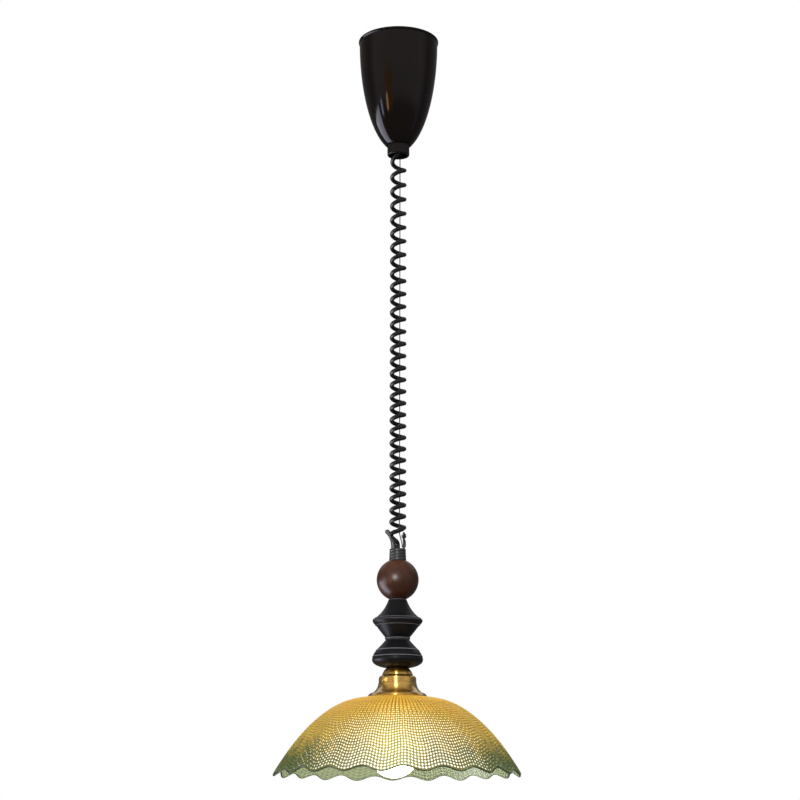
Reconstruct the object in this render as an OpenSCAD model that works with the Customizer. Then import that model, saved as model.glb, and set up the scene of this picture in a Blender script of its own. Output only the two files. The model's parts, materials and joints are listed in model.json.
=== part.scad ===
// Rise-and-fall pendant lamp with a turned wooden stem and a ruffled pressed-glass shade.
// The origin is the centre of the ceiling plane. +Z points up, so the whole lamp lies below zero.
// The viewer stands on the -Y side, with +X to the right.

/* [Ceiling bracket] */
// Distance from the end of the steel strap to the outside of the canopy
bracket_gap = 5.5; // [4.5:0.5:8]
// Width of the strap
bracket_w = 20; // [18:1:24]
// Thickness of the strap
bracket_t = 2.5; // [2:0.5:3]
// Strap left beyond the end of each screw slot
slot_end_gap = 4; // [3:0.5:4.5]
// Width of a screw slot
slot_w = 5; // [4:0.5:6]
// Length of a screw slot from end to end
slot_l = 14; // [10:1:16]
// Radius of the threaded nipple that hangs the reel from the strap
nipple_r = 5; // [4:0.5:5]
// Bore radius of the nipple
nipple_bore_r = 3.5; // [2:0.5:3.5]
// Width across the flats of the nipple's nuts
nipple_nut_af = 16; // [14:1:18]
// Height of each nipple nut
nipple_nut_h = 4; // [3:0.5:5]

/* [Canopy] */
// Outer radius of the canopy below its lip
canopy_r = 51.5; // [50:0.5:56]
// Outer radius of the lip against the ceiling
canopy_lip_r = 52.7; // [52.7:0.1:58]
// Height of the lip
canopy_lip_h = 3; // [2:0.5:5]
// Outer radius of the canopy's lower edge
canopy_end_r = 16.4; // [16.2:0.1:20]
// Height of the canopy from the ceiling to its mouth
canopy_h = 145.5; // [144:0.5:147]
// Wall of the canopy
canopy_wall = 2; // [1.6:0.1:2.4]
// Radius of the hole that the nozzle comes out of
canopy_mouth_r = 15.2; // [14.9:0.1:15.6]
// Depth of the inner rib that hangs on the spring clips
canopy_rib_z = 13; // [11:0.5:18]
// How far the inner rib stands in from the wall
canopy_rib_w = 2.2; // [1.8:0.1:2.6]
// Height of the inner rib
canopy_rib_h = 2; // [1.5:0.5:3]
// Thickness of the spring clips
clip_t = 0.8; // [0.6:0.1:1.2]
// Width of the spring clips
clip_w = 12; // [8:1:16]

/* [Reel frame] */
// Height of the steel frame that carries the reel
frame_h = 118; // [112:1:119]
// Inner width of the frame, across the drum
frame_gap = 34; // [33:0.5:35]
// Thickness of the frame's sheet steel
frame_t = 1.5; // [1.2:0.1:2]
// Half width of the frame's plates at the top and the bottom
frame_half_w = 14; // [13:0.5:15]
// Reach of the frame's shelf for the terminal block
shelf_reach = 40; // [39:1:41]

/* [Reel] */
// Radius at which the middle of the wire winds on the drum
wrap_r = 16; // [15:0.5:17]
// Depth of the drum's shaft below the frame's top
drum_drop = 56; // [52:1:60]
// Width of the drum between its flanges
drum_w = 16; // [14:0.5:17]
// Radius of the drum's flanges
drum_flange_r = 20; // [19:0.5:21]
// Thickness of the drum's flanges
drum_flange_t = 1.6; // [1.2:0.1:2]
// Wall between the winding and the spring's cavity
drum_wall = 2; // [1.6:0.1:2.4]
// Radius of the drum's hub
hub_r = 6.2; // [6:0.1:6.6]
// Radius of the shaft
shaft_r = 4; // [3.5:0.25:4.5]
// Radial running clearance of the drum on its shaft
shaft_fit = 0.05; // [0.03:0.01:0.1]
// Clearance between the drum's hub and the frame
hub_end_gap = 0.4; // [0.3:0.1:0.8]
// Radius of the shaft's head
shaft_head_r = 6; // [5.5:0.5:8]
// Turns of wire on the drum in the position shown
wound_turns = 7; // [6:1:8]
// Thickness of the spiral spring's strip
spring_t = 0.5; // [0.4:0.1:0.6]
// Turns of the spiral spring
spring_turns = 3.5; // [3:0.5:4]

/* [Nozzle] */
// Outer radius of the nozzle
nozzle_r = 14.4; // [14:0.1:14.6]
// How far the nozzle comes out below the canopy
nozzle_out = 14.5; // [12:0.5:18]
// Radius of the nozzle's open mouth
nozzle_mouth_r = 12; // [11.6:0.1:12.4]
// Depth of the nozzle's open mouth
nozzle_mouth_depth = 10; // [9:0.5:11]
// Rounding of the nozzle's lip
nozzle_round = 2; // [1:0.5:2.2]
// Radius of the threaded spigot above the nozzle
spigot_r = 11; // [10.5:0.5:11.5]
// Length of the spigot above the frame's floor
spigot_l = 9; // [8:0.5:12]
// Width across the flats of the spigot's nut
spigot_nut_af = 28; // [26:1:29]
// Height of the spigot's nut
spigot_nut_h = 4; // [3:0.5:6]

/* [Terminal block] */
// Width of the terminal block, along the frame's shelf
block_w = 20; // [18:1:20]
// Length of the terminal block
block_l = 30; // [28:1:31]
// Height of the terminal block
block_h = 14; // [12:1:16]
// Spacing of the terminals
pole_pitch = 9; // [8:0.5:9]
// Outer radius of a terminal's brass tube
pole_r = 2.5; // [2:0.1:2.8]
// Bore radius of a terminal's brass tube
pole_bore_r = 1.7; // [1.4:0.1:1.8]
// Radius of a terminal screw
pole_screw_r = 1.5; // [1.2:0.1:1.6]

/* [Cord and wire] */
// Diameter of the electric cord
cord_d = 5.6; // [5:0.1:6]
// Radius of the curly cord at the middle of its cord
coil_r = 8; // [7.4:0.1:8.4]
// Whole turns between the highest and the lowest right-hand curl
coil_turns = 29; // [26:1:31]
// Distance from the nozzle's lip to the highest right-hand curl
coil_top = 19.7; // [18:0.5:24]
// Distance from the ferrule to the lowest right-hand curl
coil_bottom = 26.9; // [24:0.5:30]
// How many times the top curls are spaced as far as the bottom ones
coil_stretch = 1.43; // [1:0.01:1.6]
// Turning of the cord between the highest right-hand curl and the nozzle, in degrees
coil_top_turn = 270; // [240:5:280]
// Distance of the cord from the axis where it enters the nozzle
cord_entry_r = 6.8; // [6.4:0.1:7.2]
// Diameter of the steel suspension wire
wire_d = 1.2; // [1:0.1:1.2]
// Distance of the wire to the right of the lamp's axis
wire_x = 2.2; // [1.8:0.1:2.4]
// Distance from the nozzle's lip down to the ferrule
hang = 518; // [480:1:560]

/* [Yoke and ferrule] */
// Radius of the ferrule at its lower edge
ferrule_r = 10.7; // [10.6:0.1:11.4]
// Height of the ferrule
ferrule_h = 14.9; // [14:0.1:18]
// Spacing of the grooves round the ferrule
ferrule_pitch = 3.7; // [3:0.1:4]
// Radius of the yoke's foot, set into the ferrule
yoke_foot_r = 9.2; // [9.1:0.1:9.3]
// Thickness of the yoke's foot
yoke_foot_h = 3; // [2.5:0.5:4]
// Distance of the yoke's curved horn to the left of the axis, at its foot
horn_x = 3.6; // [3.4:0.1:4]
// Distance of the horn behind the axis
horn_y = 1.8; // [1.7:0.1:2]
// Width of the horn at its foot
horn_w = 4.9; // [3.6:0.1:5]
// Thickness of the horn from front to back
horn_t = 3.4; // [2.6:0.1:4]
// Height of the horn's tip
horn_h = 22.3; // [20:0.1:26]
// Reach of the horn's tip to the left of the axis
horn_reach = 13.4; // [12:0.1:16]
// Radius of the horn's round tip
horn_tip_r = 2.5; // [1.6:0.1:2.6]
// Radius of the post that the wire is tied to
post_r = 1.4; // [1.2:0.1:1.5]
// Distance of the post to the right of the axis
post_x = 7.6; // [7.4:0.1:7.7]
// Height of the post
post_h = 20; // [18:0.5:22]
// Turns of the wire's tied end round the post
tie_turns = 3; // [2:1:3]

/* [Wooden stem] */
// Diameter of the walnut ball
ball_d = 52.2; // [48:0.2:58]
// Radius of the flat under the ball
ball_flat_r = 9.3; // [8:0.1:10.5]
// Radius of the spindle's neck under the ball
neck_r = 11.1; // [10.6:0.1:12]
// Largest radius of the upper spindle
upper_disc_r = 31.4; // [28:0.1:35]
// Height of the upper spindle from its neck to the waist
upper_h = 49.8; // [46:0.1:56]
// Depth of the upper disc's widest line below the neck
upper_disc_z = 26.4; // [25:0.1:28]
// Radius of the waist between the spindles
waist_r = 15; // [14:0.1:17]
// Largest radius of the lower spindle
lower_disc_r = 31.5; // [28:0.1:35]
// Height of the lower spindle
lower_h = 34.2; // [33:0.1:38]
// Depth of the lower disc's widest line below the waist
lower_disc_z = 24.6; // [24:0.1:25.4]
// Radius of the lower spindle's foot on the brass cap
lower_foot_r = 15.5; // [14:0.1:17]
// Outer radius of the threaded tube through the stem
tube_r = 5; // [4:0.5:5]
// Bore radius of the threaded tube
tube_bore_r = 3.4; // [3.1:0.1:3.4]
// Clearance of the stem's holes round the tube
tube_gap = 0.2; // [0.1:0.05:0.4]

/* [Brass gallery] */
// Radius of the cap's top, under the stem
cap_top_r = 12.6; // [11.5:0.1:13.5]
// Radius of the cap's lower edge
cap_r = 19.1; // [18:0.1:20]
// Height of the cap
cap_h = 9; // [8:0.1:11]
// Thickness of the spun brass
brass_t = 1; // [0.8:0.1:1.2]
// Radius of the bell's straight stretch
bell_r = 23.1; // [22.4:0.1:24.5]
// Height of the bell
bell_h = 26.3; // [25:0.1:29]
// Height of the bell's round shoulder
bell_round_h = 4.4; // [3.6:0.1:6]
// Depth of the end of the bell's straight stretch
bell_straight_z = 9; // [7:0.1:11]
// Radius of the bell's flared rim
bell_rim_r = 36.7; // [34:0.1:40]
// Height of the bulging band along the bell's rim
bell_band_h = 4.8; // [4:0.1:5.6]
// Width of the band, seen from above
bell_band_w = 5.5; // [5:0.1:6]
// Width of the dark groove between the cap and the bell
gallery_groove = 0.6; // [0.4:0.1:1]

/* [Lampholder] */
// Outer radius of the lampholder
holder_r = 19.6; // [18.5:0.1:20]
// Wall of the lampholder
holder_wall = 2; // [1.6:0.1:2.4]
// Height of the lampholder's threaded cap
holder_cap_h = 11.4; // [10:0.1:13]
// Height of the lampholder's body below its cap
holder_body_h = 32; // [30:0.5:36]
// Height of the contact block
contact_block_h = 5; // [4:0.5:6]
// Inner radius of the screw shell
shell_r = 13.5; // [13.4:0.1:13.9]
// Thickness of the screw shell
shell_t = 0.4; // [0.3:0.05:0.5]
// Height of the screw shell
shell_h = 23; // [20:0.5:26]
// Outer radius of the ring that holds the shade
ring_r = 25.5; // [24:0.1:28]
// Thickness of the ring's flange
ring_flange_t = 2; // [1.5:0.5:3]
// Height of the ring
ring_h = 8; // [6:0.5:10]

/* [Glass shade] */
// Radius of the shade's rim
shade_r = 150.5; // [140:0.5:165]
// Drop of the shade from the gallery's lip to the rim
shade_drop = 91; // [84:1:100]
// Steepness of the shade's curve
shade_power = 2.06; // [1.9:0.01:2.3]
// Thickness of the pressed glass
glass_t = 3; // [2.5:0.1:3]
// Radius of the hole round the lampholder
fitter_r = 20.6; // [20.3:0.1:21]
// Outer radius of the shade's flat seat
fitter_seat_r = 27; // [26:0.5:30]
// Drop of the shade between its seat and the gallery's lip
fitter_drop = 2.6; // [2:0.1:4]
// Number of ruffles round the rim
ruffles = 21; // [17:1:24]
// Height of the ruffles at the rim, from the middle to the peak
ruffle_a = 4.6; // [2:0.1:6]
// Share of the shade's slope above which the ruffles have died away
ruffle_start = 0.42; // [0.3:0.01:0.6]

/* [Bulb] */
// Radius of the bulb's globe
bulb_r = 30; // [28:0.5:31]
// Length of the bulb from its contact to its end
bulb_l = 105; // [100:1:112]
// Radius of the bulb's screw cap
bulb_cap_r = 13.1; // [12.9:0.1:13.2]
// Height of the bulb's screw cap
bulb_cap_h = 22; // [20:0.5:24]
// Wall of the bulb's glass
glass_wall = 1; // [0.8:0.1:1.2]

/* [Hidden] */
$fn = 96;
// Space between solids that rest on each other
seat = 0.1;
// Overlap that joins solids of one piece, and that cuts past a face
eps = 0.02;
cut = 1;

// Height of the full half ellipse that the canopy's outline is cut from
canopy_ellipse_h = canopy_h / sqrt(1 - pow(canopy_end_r / canopy_r, 2));

// Levels of the ceiling fixture
bracket_l = 2 * (canopy_r - bracket_gap);
slot_spacing = bracket_l - slot_l - 2 * slot_end_gap;
frame_top_z = -bracket_t - nipple_nut_h;
frame_floor_z = frame_top_z - frame_h;
nozzle_tip_z = -canopy_h - nozzle_out;
nozzle_floor_z = nozzle_tip_z + nozzle_mouth_depth;
drum_x = wire_x - wrap_r;
drum_z = frame_top_z - drum_drop;
cheek_y = frame_gap / 2;
// The wire leaves the nozzle and swings from this level
pivot_z = nozzle_floor_z - 2;

// The winding on the drum
barrel_r = wrap_r - wire_d / 2 - seat;
wound_pitch = (drum_w - 2 * wire_d) / (wound_turns + 1);
wire_leave_y = drum_w / 2 - wire_d;
wound_end_y = wire_leave_y - wound_pitch;
drum_end_y = drum_w / 2 + drum_flange_t;
cap_plate_t = 1.5;
hub_end_y = cheek_y - hub_end_gap;

// Levels of the lamp
ferrule_z = nozzle_tip_z - hang;
ball_r = ball_d / 2;
ball_seat_r = ferrule_r - 0.2;
ball_z = ferrule_z - ferrule_h - seat - sqrt(pow(ball_r, 2) - pow(ball_seat_r, 2));
neck_z = ball_z - sqrt(pow(ball_r, 2) - pow(ball_flat_r, 2)) - seat;
waist_z = neck_z - upper_h;
lower_z = waist_z - seat;
cap_z = lower_z - lower_h - seat;
bell_z = cap_z - cap_h - gallery_groove;
bell_rim_z = bell_z - bell_h;
holder_z = bell_z - brass_t - seat;
holder_body_z = holder_z - holder_cap_h;
block_floor_z = holder_body_z - contact_block_h;
tube_top_z = ferrule_z - yoke_foot_h - 5;
tube_end_z = holder_z - holder_cap_h * 0.6;
tube_hole_r = tube_r + tube_gap;

// Levels of the shade and of the bulb
lip_clearance = 0.5;
shade_z = bell_rim_z - lip_clearance;
seat_z = shade_z + fitter_drop;
ring_z = seat_z - glass_t - seat;
contact_h = 2;
insulator_h = 3;
bulb_top_z = block_floor_z - 1;
bulb_end_z = bulb_top_z - bulb_l;
bulb_cap_z = bulb_top_z - contact_h - insulator_h;
bulb_neck_z = bulb_cap_z - bulb_cap_h;
bulb_z = bulb_end_z + bulb_r;

// Slope of the wire between the drum and the nozzle
wire_lean = atan2(wire_leave_y, drum_z - pivot_z);
guide_l = 3;

// The curly cord's way between the nozzle and the ferrule
cord_straight = cord_d + 0.6;
coil_first_z = nozzle_tip_z - coil_top;
coil_last_z = ferrule_z + coil_bottom;
coil_l = coil_first_z - coil_last_z;
coil_mean = 1 + (coil_stretch - 1) / 3;
coil_pitch_end = coil_l / coil_turns / coil_mean;
coil_pitch_start = coil_pitch_end * coil_stretch;
cord_entry = [
  cord_entry_r * cos(coil_top_turn),
  cord_entry_r * sin(coil_top_turn),
  nozzle_floor_z - seat
];
cord_exit_z = ferrule_z + seat;
curl_rings = 8;
loop_rings = 24;
tube_sides = 6;

// The wire's tied end round the yoke's post
tie_r = post_r + wire_d / 2 + seat;
tie_z = ferrule_z + 22;
tie_foot_z = ferrule_z + 3.6;
tie_wrap_z = ferrule_z + 13.5;
tie_pitch = wire_d + 0.5;

// The cord inside the canopy, from the nozzle to the terminal block
block_x = frame_half_w + 5;
lead_wall_y = -cheek_y + cord_d / 2 + 0.3;
spigot_top_z = frame_floor_z + frame_t + spigot_l;
lead_points = [
  [cord_entry[0], cord_entry[1], nozzle_floor_z + seat],
  [cord_entry[0], cord_entry[1], spigot_top_z - 1.5],
  [cord_entry[0], cord_entry[1], spigot_top_z + 1],
  [cord_entry[0] + 2.5, cord_entry[1] - 1.8, spigot_top_z + 9],
  [cord_entry[0] + 8, lead_wall_y + 2, spigot_top_z + 20],
  [11.5, lead_wall_y, spigot_top_z + 32],
  [11.5, lead_wall_y, drum_z],
  [11.5, lead_wall_y, frame_top_z - 36],
  [11.5, -10.5, frame_top_z - 26],
  [12, -5.5, frame_top_z - 18.5],
  [14, -1.2, frame_top_z - 11],
  [block_x - 3, 0, frame_top_z - frame_t - block_h / 2],
  [block_x - seat, 0, frame_top_z - frame_t - block_h / 2]
];

// A curve of three control points, as a list of n + 1 points
function bend(a, b, c, n) = [
  for (i = [0 : n])
    let (t = i / n)
    pow(1 - t, 2) * a + 2 * t * (1 - t) * b + t * t * c
];

// An arc about a centre, from one angle to another
function arc(centre, r, from, to, n) = [
  for (i = [0 : n])
    let (a = from + (to - from) * i / n)
    centre + r * [cos(a), sin(a)]
];

function unit(v) = v / norm(v);
function smooth(t) = t * t * (3 - 2 * t);
function length_of(path, i = 0) =
  i >= len(path) - 1 ? 0 : norm(path[i + 1] - path[i]) + length_of(path, i + 1);

// A smooth curve through a list of points, with steps points on each stretch
function through(p, steps) = [
  for (i = [0 : len(p) - 2], k = [0 : steps - 1])
    let (
      a = p[max(i - 1, 0)],
      b = p[i],
      c = p[i + 1],
      d = p[min(i + 2, len(p) - 1)],
      t = k / steps
    )
    b + (c - a) * t / 2 + (2 * a - 5 * b + 4 * c - d) * t * t / 2
      + (3 * b - a - 3 * c + d) * pow(t, 3) / 2,
  p[len(p) - 1]
];

// The direction of a path at each of its points
function headings(path) = [
  for (i = [0 : len(path) - 1])
    unit(path[min(i + 1, len(path) - 1)] - path[max(i - 1, 0)])
];

// The part of a vector that stands square to a heading
function square_to(v, h) = unit(v - (v * h) * h);

// One side vector for each point, carried along the path without turning about it
function side_vectors(h, start) = [
  for (i = 0, v = square_to(start, h[0]); i < len(h); v = square_to(v, h[min(i + 1, len(h) - 1)]), i = i + 1)
    v
];

// An unbroken round tube along a path, as one closed surface of triangles
module tube(path, d, sides, start = [1, 0.01, 0.02]) {
  h = headings(path);
  u = side_vectors(h, start);
  points = [
    for (i = [0 : len(path) - 1], k = [0 : sides - 1])
      let (a = 360 * k / sides, w = cross(h[i], u[i]))
      path[i] + d / 2 * (cos(a) * u[i] + sin(a) * w)
  ];
  last = (len(path) - 1) * sides;
  walls = [
    for (i = [0 : len(path) - 2], k = [0 : sides - 1])
      let (a = i * sides + k, b = i * sides + (k + 1) % sides)
      each [[a, a + sides, b], [b, a + sides, b + sides]]
  ];
  ends = [
    for (k = [1 : sides - 2])
      each [[0, k, k + 1], [last, last + k + 1, last + k]]
  ];
  polyhedron(points = points, faces = concat(walls, ends));
}

// The least gap of a wound tube to its own neighbouring turns
function own_gap(path, d, rings) = min([
  for (i = [0 : len(path) - 1])
    for (j = [i + rings / 2 : min(i + 2 * rings, len(path) - 1)])
      norm(path[j] - path[i])
]) - d;

// Height along the coil after a share t of its turns
function coil_fall(t) = coil_l * (t + (coil_stretch - 1) * (1 - pow(1 - t, 3)) / 3) / coil_mean;

// The curl between the nozzle and the highest right-hand curl, from the bottom up
function top_lead(s) =
  let (
    turn = 2 * coil_top_turn * (s - s * s / 2),
    r = coil_r - (coil_r - cord_entry_r) * s * s,
    slope = coil_pitch_start / 360 * 2 * coil_top_turn,
    rise = nozzle_floor_z - cord_straight - coil_first_z
  )
  [r * cos(turn), r * sin(turn), coil_first_z + slope * s + (rise - slope) * s * s];

// A point of the cord's last bend, from its angle about the axis, its distance from the axis in
// radii of the coil, and its share of the height between the ferrule and the lowest curl
function swing(a, share, rise) =
  [coil_r * share * cos(a), coil_r * share * sin(a), ferrule_z + coil_bottom * rise];

// Below the lowest right-hand curl the cord swings out in front of the horn and back to the axis
swing_path = through([
  swing(-22, 1, 0.962),
  swing(-45, 1, 0.9),
  swing(-90, 1, 0.795),
  swing(-123, 1.11, 0.74),
  swing(-146, 1.21, 0.665),
  swing(-155, 1.05, 0.543),
  swing(-147, 0.69, 0.431),
  swing(-129, 0.24, 0.327),
  swing(0, 0, 0.208),
  [0, 0, cord_exit_z]
], 2);

coil_path = [
  cord_entry,
  for (s = [1 : -1 / 7 : 0.01])
    top_lead(s),
  for (i = [0 : coil_turns * curl_rings])
    let (t = i / (coil_turns * curl_rings), a = -360 * i / curl_rings)
    [coil_r * cos(a), coil_r * sin(a), coil_first_z - coil_fall(t)],
  each swing_path
];

// The winding on the drum, about an upright axis
wound_path = [
  for (i = [0 : wound_turns * loop_rings])
    let (a = -360 * i / loop_rings)
    [wrap_r * cos(a), wrap_r * sin(a), -wound_pitch * i / loop_rings]
];

// The tied end of the suspension wire
tie_path = [
  for (s = [0 : 1 / 8 : 1])
    [wire_x + (post_x - tie_r - wire_x) * smooth(s), 0, tie_z + (tie_foot_z - tie_z) * s],
  for (s = [1 / 8 : 1 / 8 : 1])
    let (a = 180 - 180 * s)
    [post_x + tie_r * cos(a), tie_r * sin(a), tie_foot_z - 1.6 * sin(180 * s)],
  for (s = [1 / 5 : 1 / 5 : 1])
    let (a = -90 * s * s)
    [post_x + tie_r * cos(a), tie_r * sin(a), tie_foot_z + (tie_wrap_z - tie_foot_z) * s],
  for (i = [1 : tie_turns * 12])
    let (a = -90 - 30 * i)
    [post_x + tie_r * cos(a), tie_r * sin(a), tie_wrap_z + tie_pitch * i / 12]
];

lead_path = through(lead_points, 3);

echo(curly_cord_length_mm = round(length_of(coil_path)));
echo(curly_cord_least_gap_mm = own_gap(coil_path, cord_d, curl_rings));
echo(wound_wire_least_gap_mm = own_gap(wound_path, wire_d, loop_rings));

module hexagon_nut(af, h, bore_r) {
  difference() {
    cylinder(h = h, r = af / sqrt(3), $fn = 6);
    translate([0, 0, -cut])
      cylinder(h = h + 2 * cut, r = bore_r);
  }
}

// A ring about the z axis, from z down to z - h
module collar(r, bore_r, z, h) {
  translate([0, 0, z - h])
    difference() {
      cylinder(h = h, r = r);
      translate([0, 0, -cut])
        cylinder(h = h + 2 * cut, r = bore_r);
    }
}

// Places its children about the drum's shaft, with their z axis along y
module on_shaft() {
  translate([drum_x, 0, drum_z])
    rotate([-90, 0, 0])
      children();
}

module slot(l, w, h) {
  linear_extrude(height = h)
    union() {
      square([w, l - w], center = true);
      for (side = [-1, 1])
        translate([0, side * (l - w) / 2])
          circle(d = w);
    }
}

module ceiling_bracket() {
  color("lightsteelblue")
    translate([0, 0, -bracket_t])
      difference() {
        translate([-bracket_w / 2, -bracket_l / 2, 0])
          cube([bracket_w, bracket_l, bracket_t]);
        translate([0, 0, -cut])
          cylinder(h = bracket_t + 2 * cut, r = nipple_r + shaft_fit);
        for (side = [-1, 1])
          translate([0, side * slot_spacing / 2, -cut])
            slot(slot_l, slot_w, bracket_t + 2 * cut);
      }
}

module hanger_nipple() {
  color("silver")
    collar(nipple_r, nipple_bore_r, -0.4, -frame_top_z + frame_t + nipple_nut_h + 1.6);
}

module hanger_nuts() {
  color("silver") {
    translate([0, 0, frame_top_z])
      hexagon_nut(nipple_nut_af, nipple_nut_h, nipple_r + shaft_fit);
    translate([0, 0, frame_top_z - frame_t - nipple_nut_h])
      hexagon_nut(nipple_nut_af, nipple_nut_h, nipple_r + shaft_fit);
  }
}

// Inner radius of the canopy at a depth below the ceiling
function canopy_inner_r(depth) =
  (canopy_r - canopy_wall) * sqrt(1 - pow(depth / (canopy_ellipse_h - canopy_wall), 2));

module canopy_clips() {
  foot_r = canopy_inner_r(canopy_rib_z) - 0.4;
  leg_y = foot_r - canopy_rib_w - 0.4;
  shelf_y = slot_spacing / 2 + slot_l / 2 + 0.5;
  foot_z = -canopy_rib_z - canopy_rib_h - seat;
  color("lightgray")
    for (side = [0, 180])
      rotate([0, 0, side])
        translate([-clip_w / 2, 0, 0]) {
          translate([0, shelf_y, -bracket_t - clip_t])
            cube([clip_w, leg_y - shelf_y, clip_t]);
          translate([0, leg_y - clip_t, foot_z - clip_t])
            cube([clip_w, clip_t, -bracket_t - foot_z + clip_t]);
          translate([0, leg_y - clip_t, foot_z - clip_t])
            cube([clip_w, foot_r - leg_y, clip_t]);
        }
}

module canopy_cup() {
  mouth_a = asin(canopy_h / canopy_ellipse_h);
  inner_h = canopy_ellipse_h - canopy_wall;
  inner_a = asin(canopy_h / inner_h);
  outer = [
    for (i = [0 : 28])
      let (a = mouth_a * i / 28)
      [canopy_r * cos(a), -canopy_ellipse_h * sin(a)]
  ];
  inner = [
    for (i = [28 : -1 : 0])
      let (a = inner_a * i / 28)
      [(canopy_r - canopy_wall) * cos(a), -inner_h * sin(a)]
  ];
  lip = [
    [canopy_lip_r - 0.6, 0],
    [canopy_lip_r, -0.6],
    [canopy_lip_r, -canopy_lip_h + 0.8],
    [canopy_lip_r - 0.5, -canopy_lip_h],
    [canopy_r - 1, -canopy_lip_h - 0.6],
    [canopy_r - 1, 0]
  ];
  rib_r = canopy_inner_r(canopy_rib_z);
  color("#1b1512") {
    difference() {
      union() {
        rotate_extrude()
          polygon(concat(outer, inner));
        rotate_extrude()
          polygon(lip);
        rotate_extrude()
          translate([rib_r - canopy_rib_w, -canopy_rib_z - canopy_rib_h])
            square([canopy_rib_w + canopy_wall / 2, canopy_rib_h]);
      }
      translate([0, 0, -canopy_h - cut])
        cylinder(h = 20, r = canopy_mouth_r);
    }
  }
}

// One side plate of the reel frame, seen along y
module cheek_outline() {
  reach = -drum_x + 9;
  difference() {
    polygon([
      [-frame_half_w, frame_top_z],
      [frame_half_w, frame_top_z],
      [frame_half_w, frame_floor_z],
      [-frame_half_w, frame_floor_z],
      [-frame_half_w, drum_z - 28],
      [-reach, drum_z - 9],
      [-reach, drum_z + 9],
      [-frame_half_w, drum_z + 28]
    ]);
    translate([drum_x, drum_z])
      circle(r = shaft_r + shaft_fit);
  }
}

module reel_frame() {
  half = cheek_y + frame_t;
  color("gainsboro")
    difference() {
      union() {
        for (y = [cheek_y + frame_t, -cheek_y])
          translate([0, y, 0])
            rotate([90, 0, 0])
              linear_extrude(height = frame_t)
                cheek_outline();
        translate([-frame_half_w, -half, frame_top_z - frame_t])
          cube([frame_half_w + shelf_reach, 2 * half, frame_t]);
        translate([-frame_half_w, -half, frame_floor_z])
          cube([2 * frame_half_w, 2 * half, frame_t]);
      }
      translate([0, 0, frame_top_z - frame_t - cut])
        cylinder(h = frame_t + 2 * cut, r = nipple_r + shaft_fit);
      translate([0, 0, frame_floor_z - cut])
        cylinder(h = frame_t + 2 * cut, r = spigot_r + shaft_fit);
    }
}

module reel_axle() {
  outer_y = cheek_y + frame_t;
  color("silver")
    on_shaft() {
      translate([0, 0, -outer_y])
        cylinder(h = 2 * outer_y + 2, r = shaft_r);
      translate([0, 0, -outer_y - 1.5])
        cylinder(h = 1.5, r = shaft_head_r);
    }
}

module axle_clip() {
  color("dimgray")
    on_shaft()
      translate([0, 0, cheek_y + frame_t])
        difference() {
          cylinder(h = 1, r = shaft_head_r + 0.5);
          translate([0, 0, -cut])
            cylinder(h = 1 + 2 * cut, r = shaft_r + shaft_fit);
          translate([0, -shaft_r * 0.6, -cut])
            cube([shaft_head_r * 2, shaft_r * 1.2, 1 + 2 * cut]);
        }
}

module wire_drum() {
  cavity_r = barrel_r - drum_wall;
  color("ivory")
    on_shaft()
      difference() {
        union() {
          translate([0, 0, -drum_end_y])
            cylinder(h = drum_flange_t, r = drum_flange_r);
          translate([0, 0, drum_w / 2])
            cylinder(h = drum_flange_t, r = drum_flange_r);
          translate([0, 0, -drum_end_y + eps])
            cylinder(h = 2 * drum_end_y - 2 * eps, r = barrel_r);
          translate([0, 0, -hub_end_y])
            cylinder(h = hub_end_y, r = hub_r);
        }
        translate([0, 0, -drum_w / 2])
          difference() {
            cylinder(h = drum_w + drum_flange_t + cut, r = cavity_r);
            translate([0, 0, -cut])
              cylinder(h = drum_w + 4, r = hub_r);
          }
        translate([0, 0, drum_w / 2 - 1])
          cylinder(h = drum_w, r = hub_r + cut);
        translate([0, 0, -hub_end_y - cut])
          cylinder(h = 2 * hub_end_y, r = shaft_r + shaft_fit);
      }
}

module drum_cap() {
  color("whitesmoke")
    on_shaft()
      difference() {
        union() {
          translate([0, 0, drum_end_y])
            cylinder(h = cap_plate_t, r = drum_flange_r);
          translate([0, 0, drum_end_y])
            cylinder(h = hub_end_y - drum_end_y, r = hub_r);
        }
        translate([0, 0, drum_end_y - cut])
          cylinder(h = hub_end_y, r = shaft_r + shaft_fit);
      }
}

// The spring's strip, wound from the hub outwards
module mainspring() {
  inner_r = hub_r + 0.6;
  outer_r = barrel_r - drum_wall - spring_t - seat;
  steps = 24 * spring_turns;
  outward = [
    for (i = [0 : steps])
      let (r = inner_r + (outer_r - inner_r) * i / steps, a = 360 * i / 24)
      r * [cos(a), sin(a)]
  ];
  back = [
    for (i = [steps : -1 : 0])
      let (r = spring_t + inner_r + (outer_r - inner_r) * i / steps, a = 360 * i / 24)
      r * [cos(a), sin(a)]
  ];
  color("steelblue")
    on_shaft()
      translate([0, 0, -drum_w / 2 + 1.2])
        linear_extrude(height = drum_w - 3.4)
          polygon(concat(outward, back));
}

// Turned about y so that the wire leaves the drum on its right-hand side
module wound_wire() {
  color("darkgray")
    on_shaft()
      translate([0, 0, wound_end_y])
        tube(wound_path, wire_d, tube_sides);
}

module wire_drop() {
  foot = [wire_x, 0, pivot_z + seat];
  head = [wire_x, wire_leave_y, drum_z - wire_d / 2];
  color("darkgray")
    translate(foot)
      rotate([-wire_lean, 0, 0])
        cylinder(h = norm(head - foot), d = wire_d);
}

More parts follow.
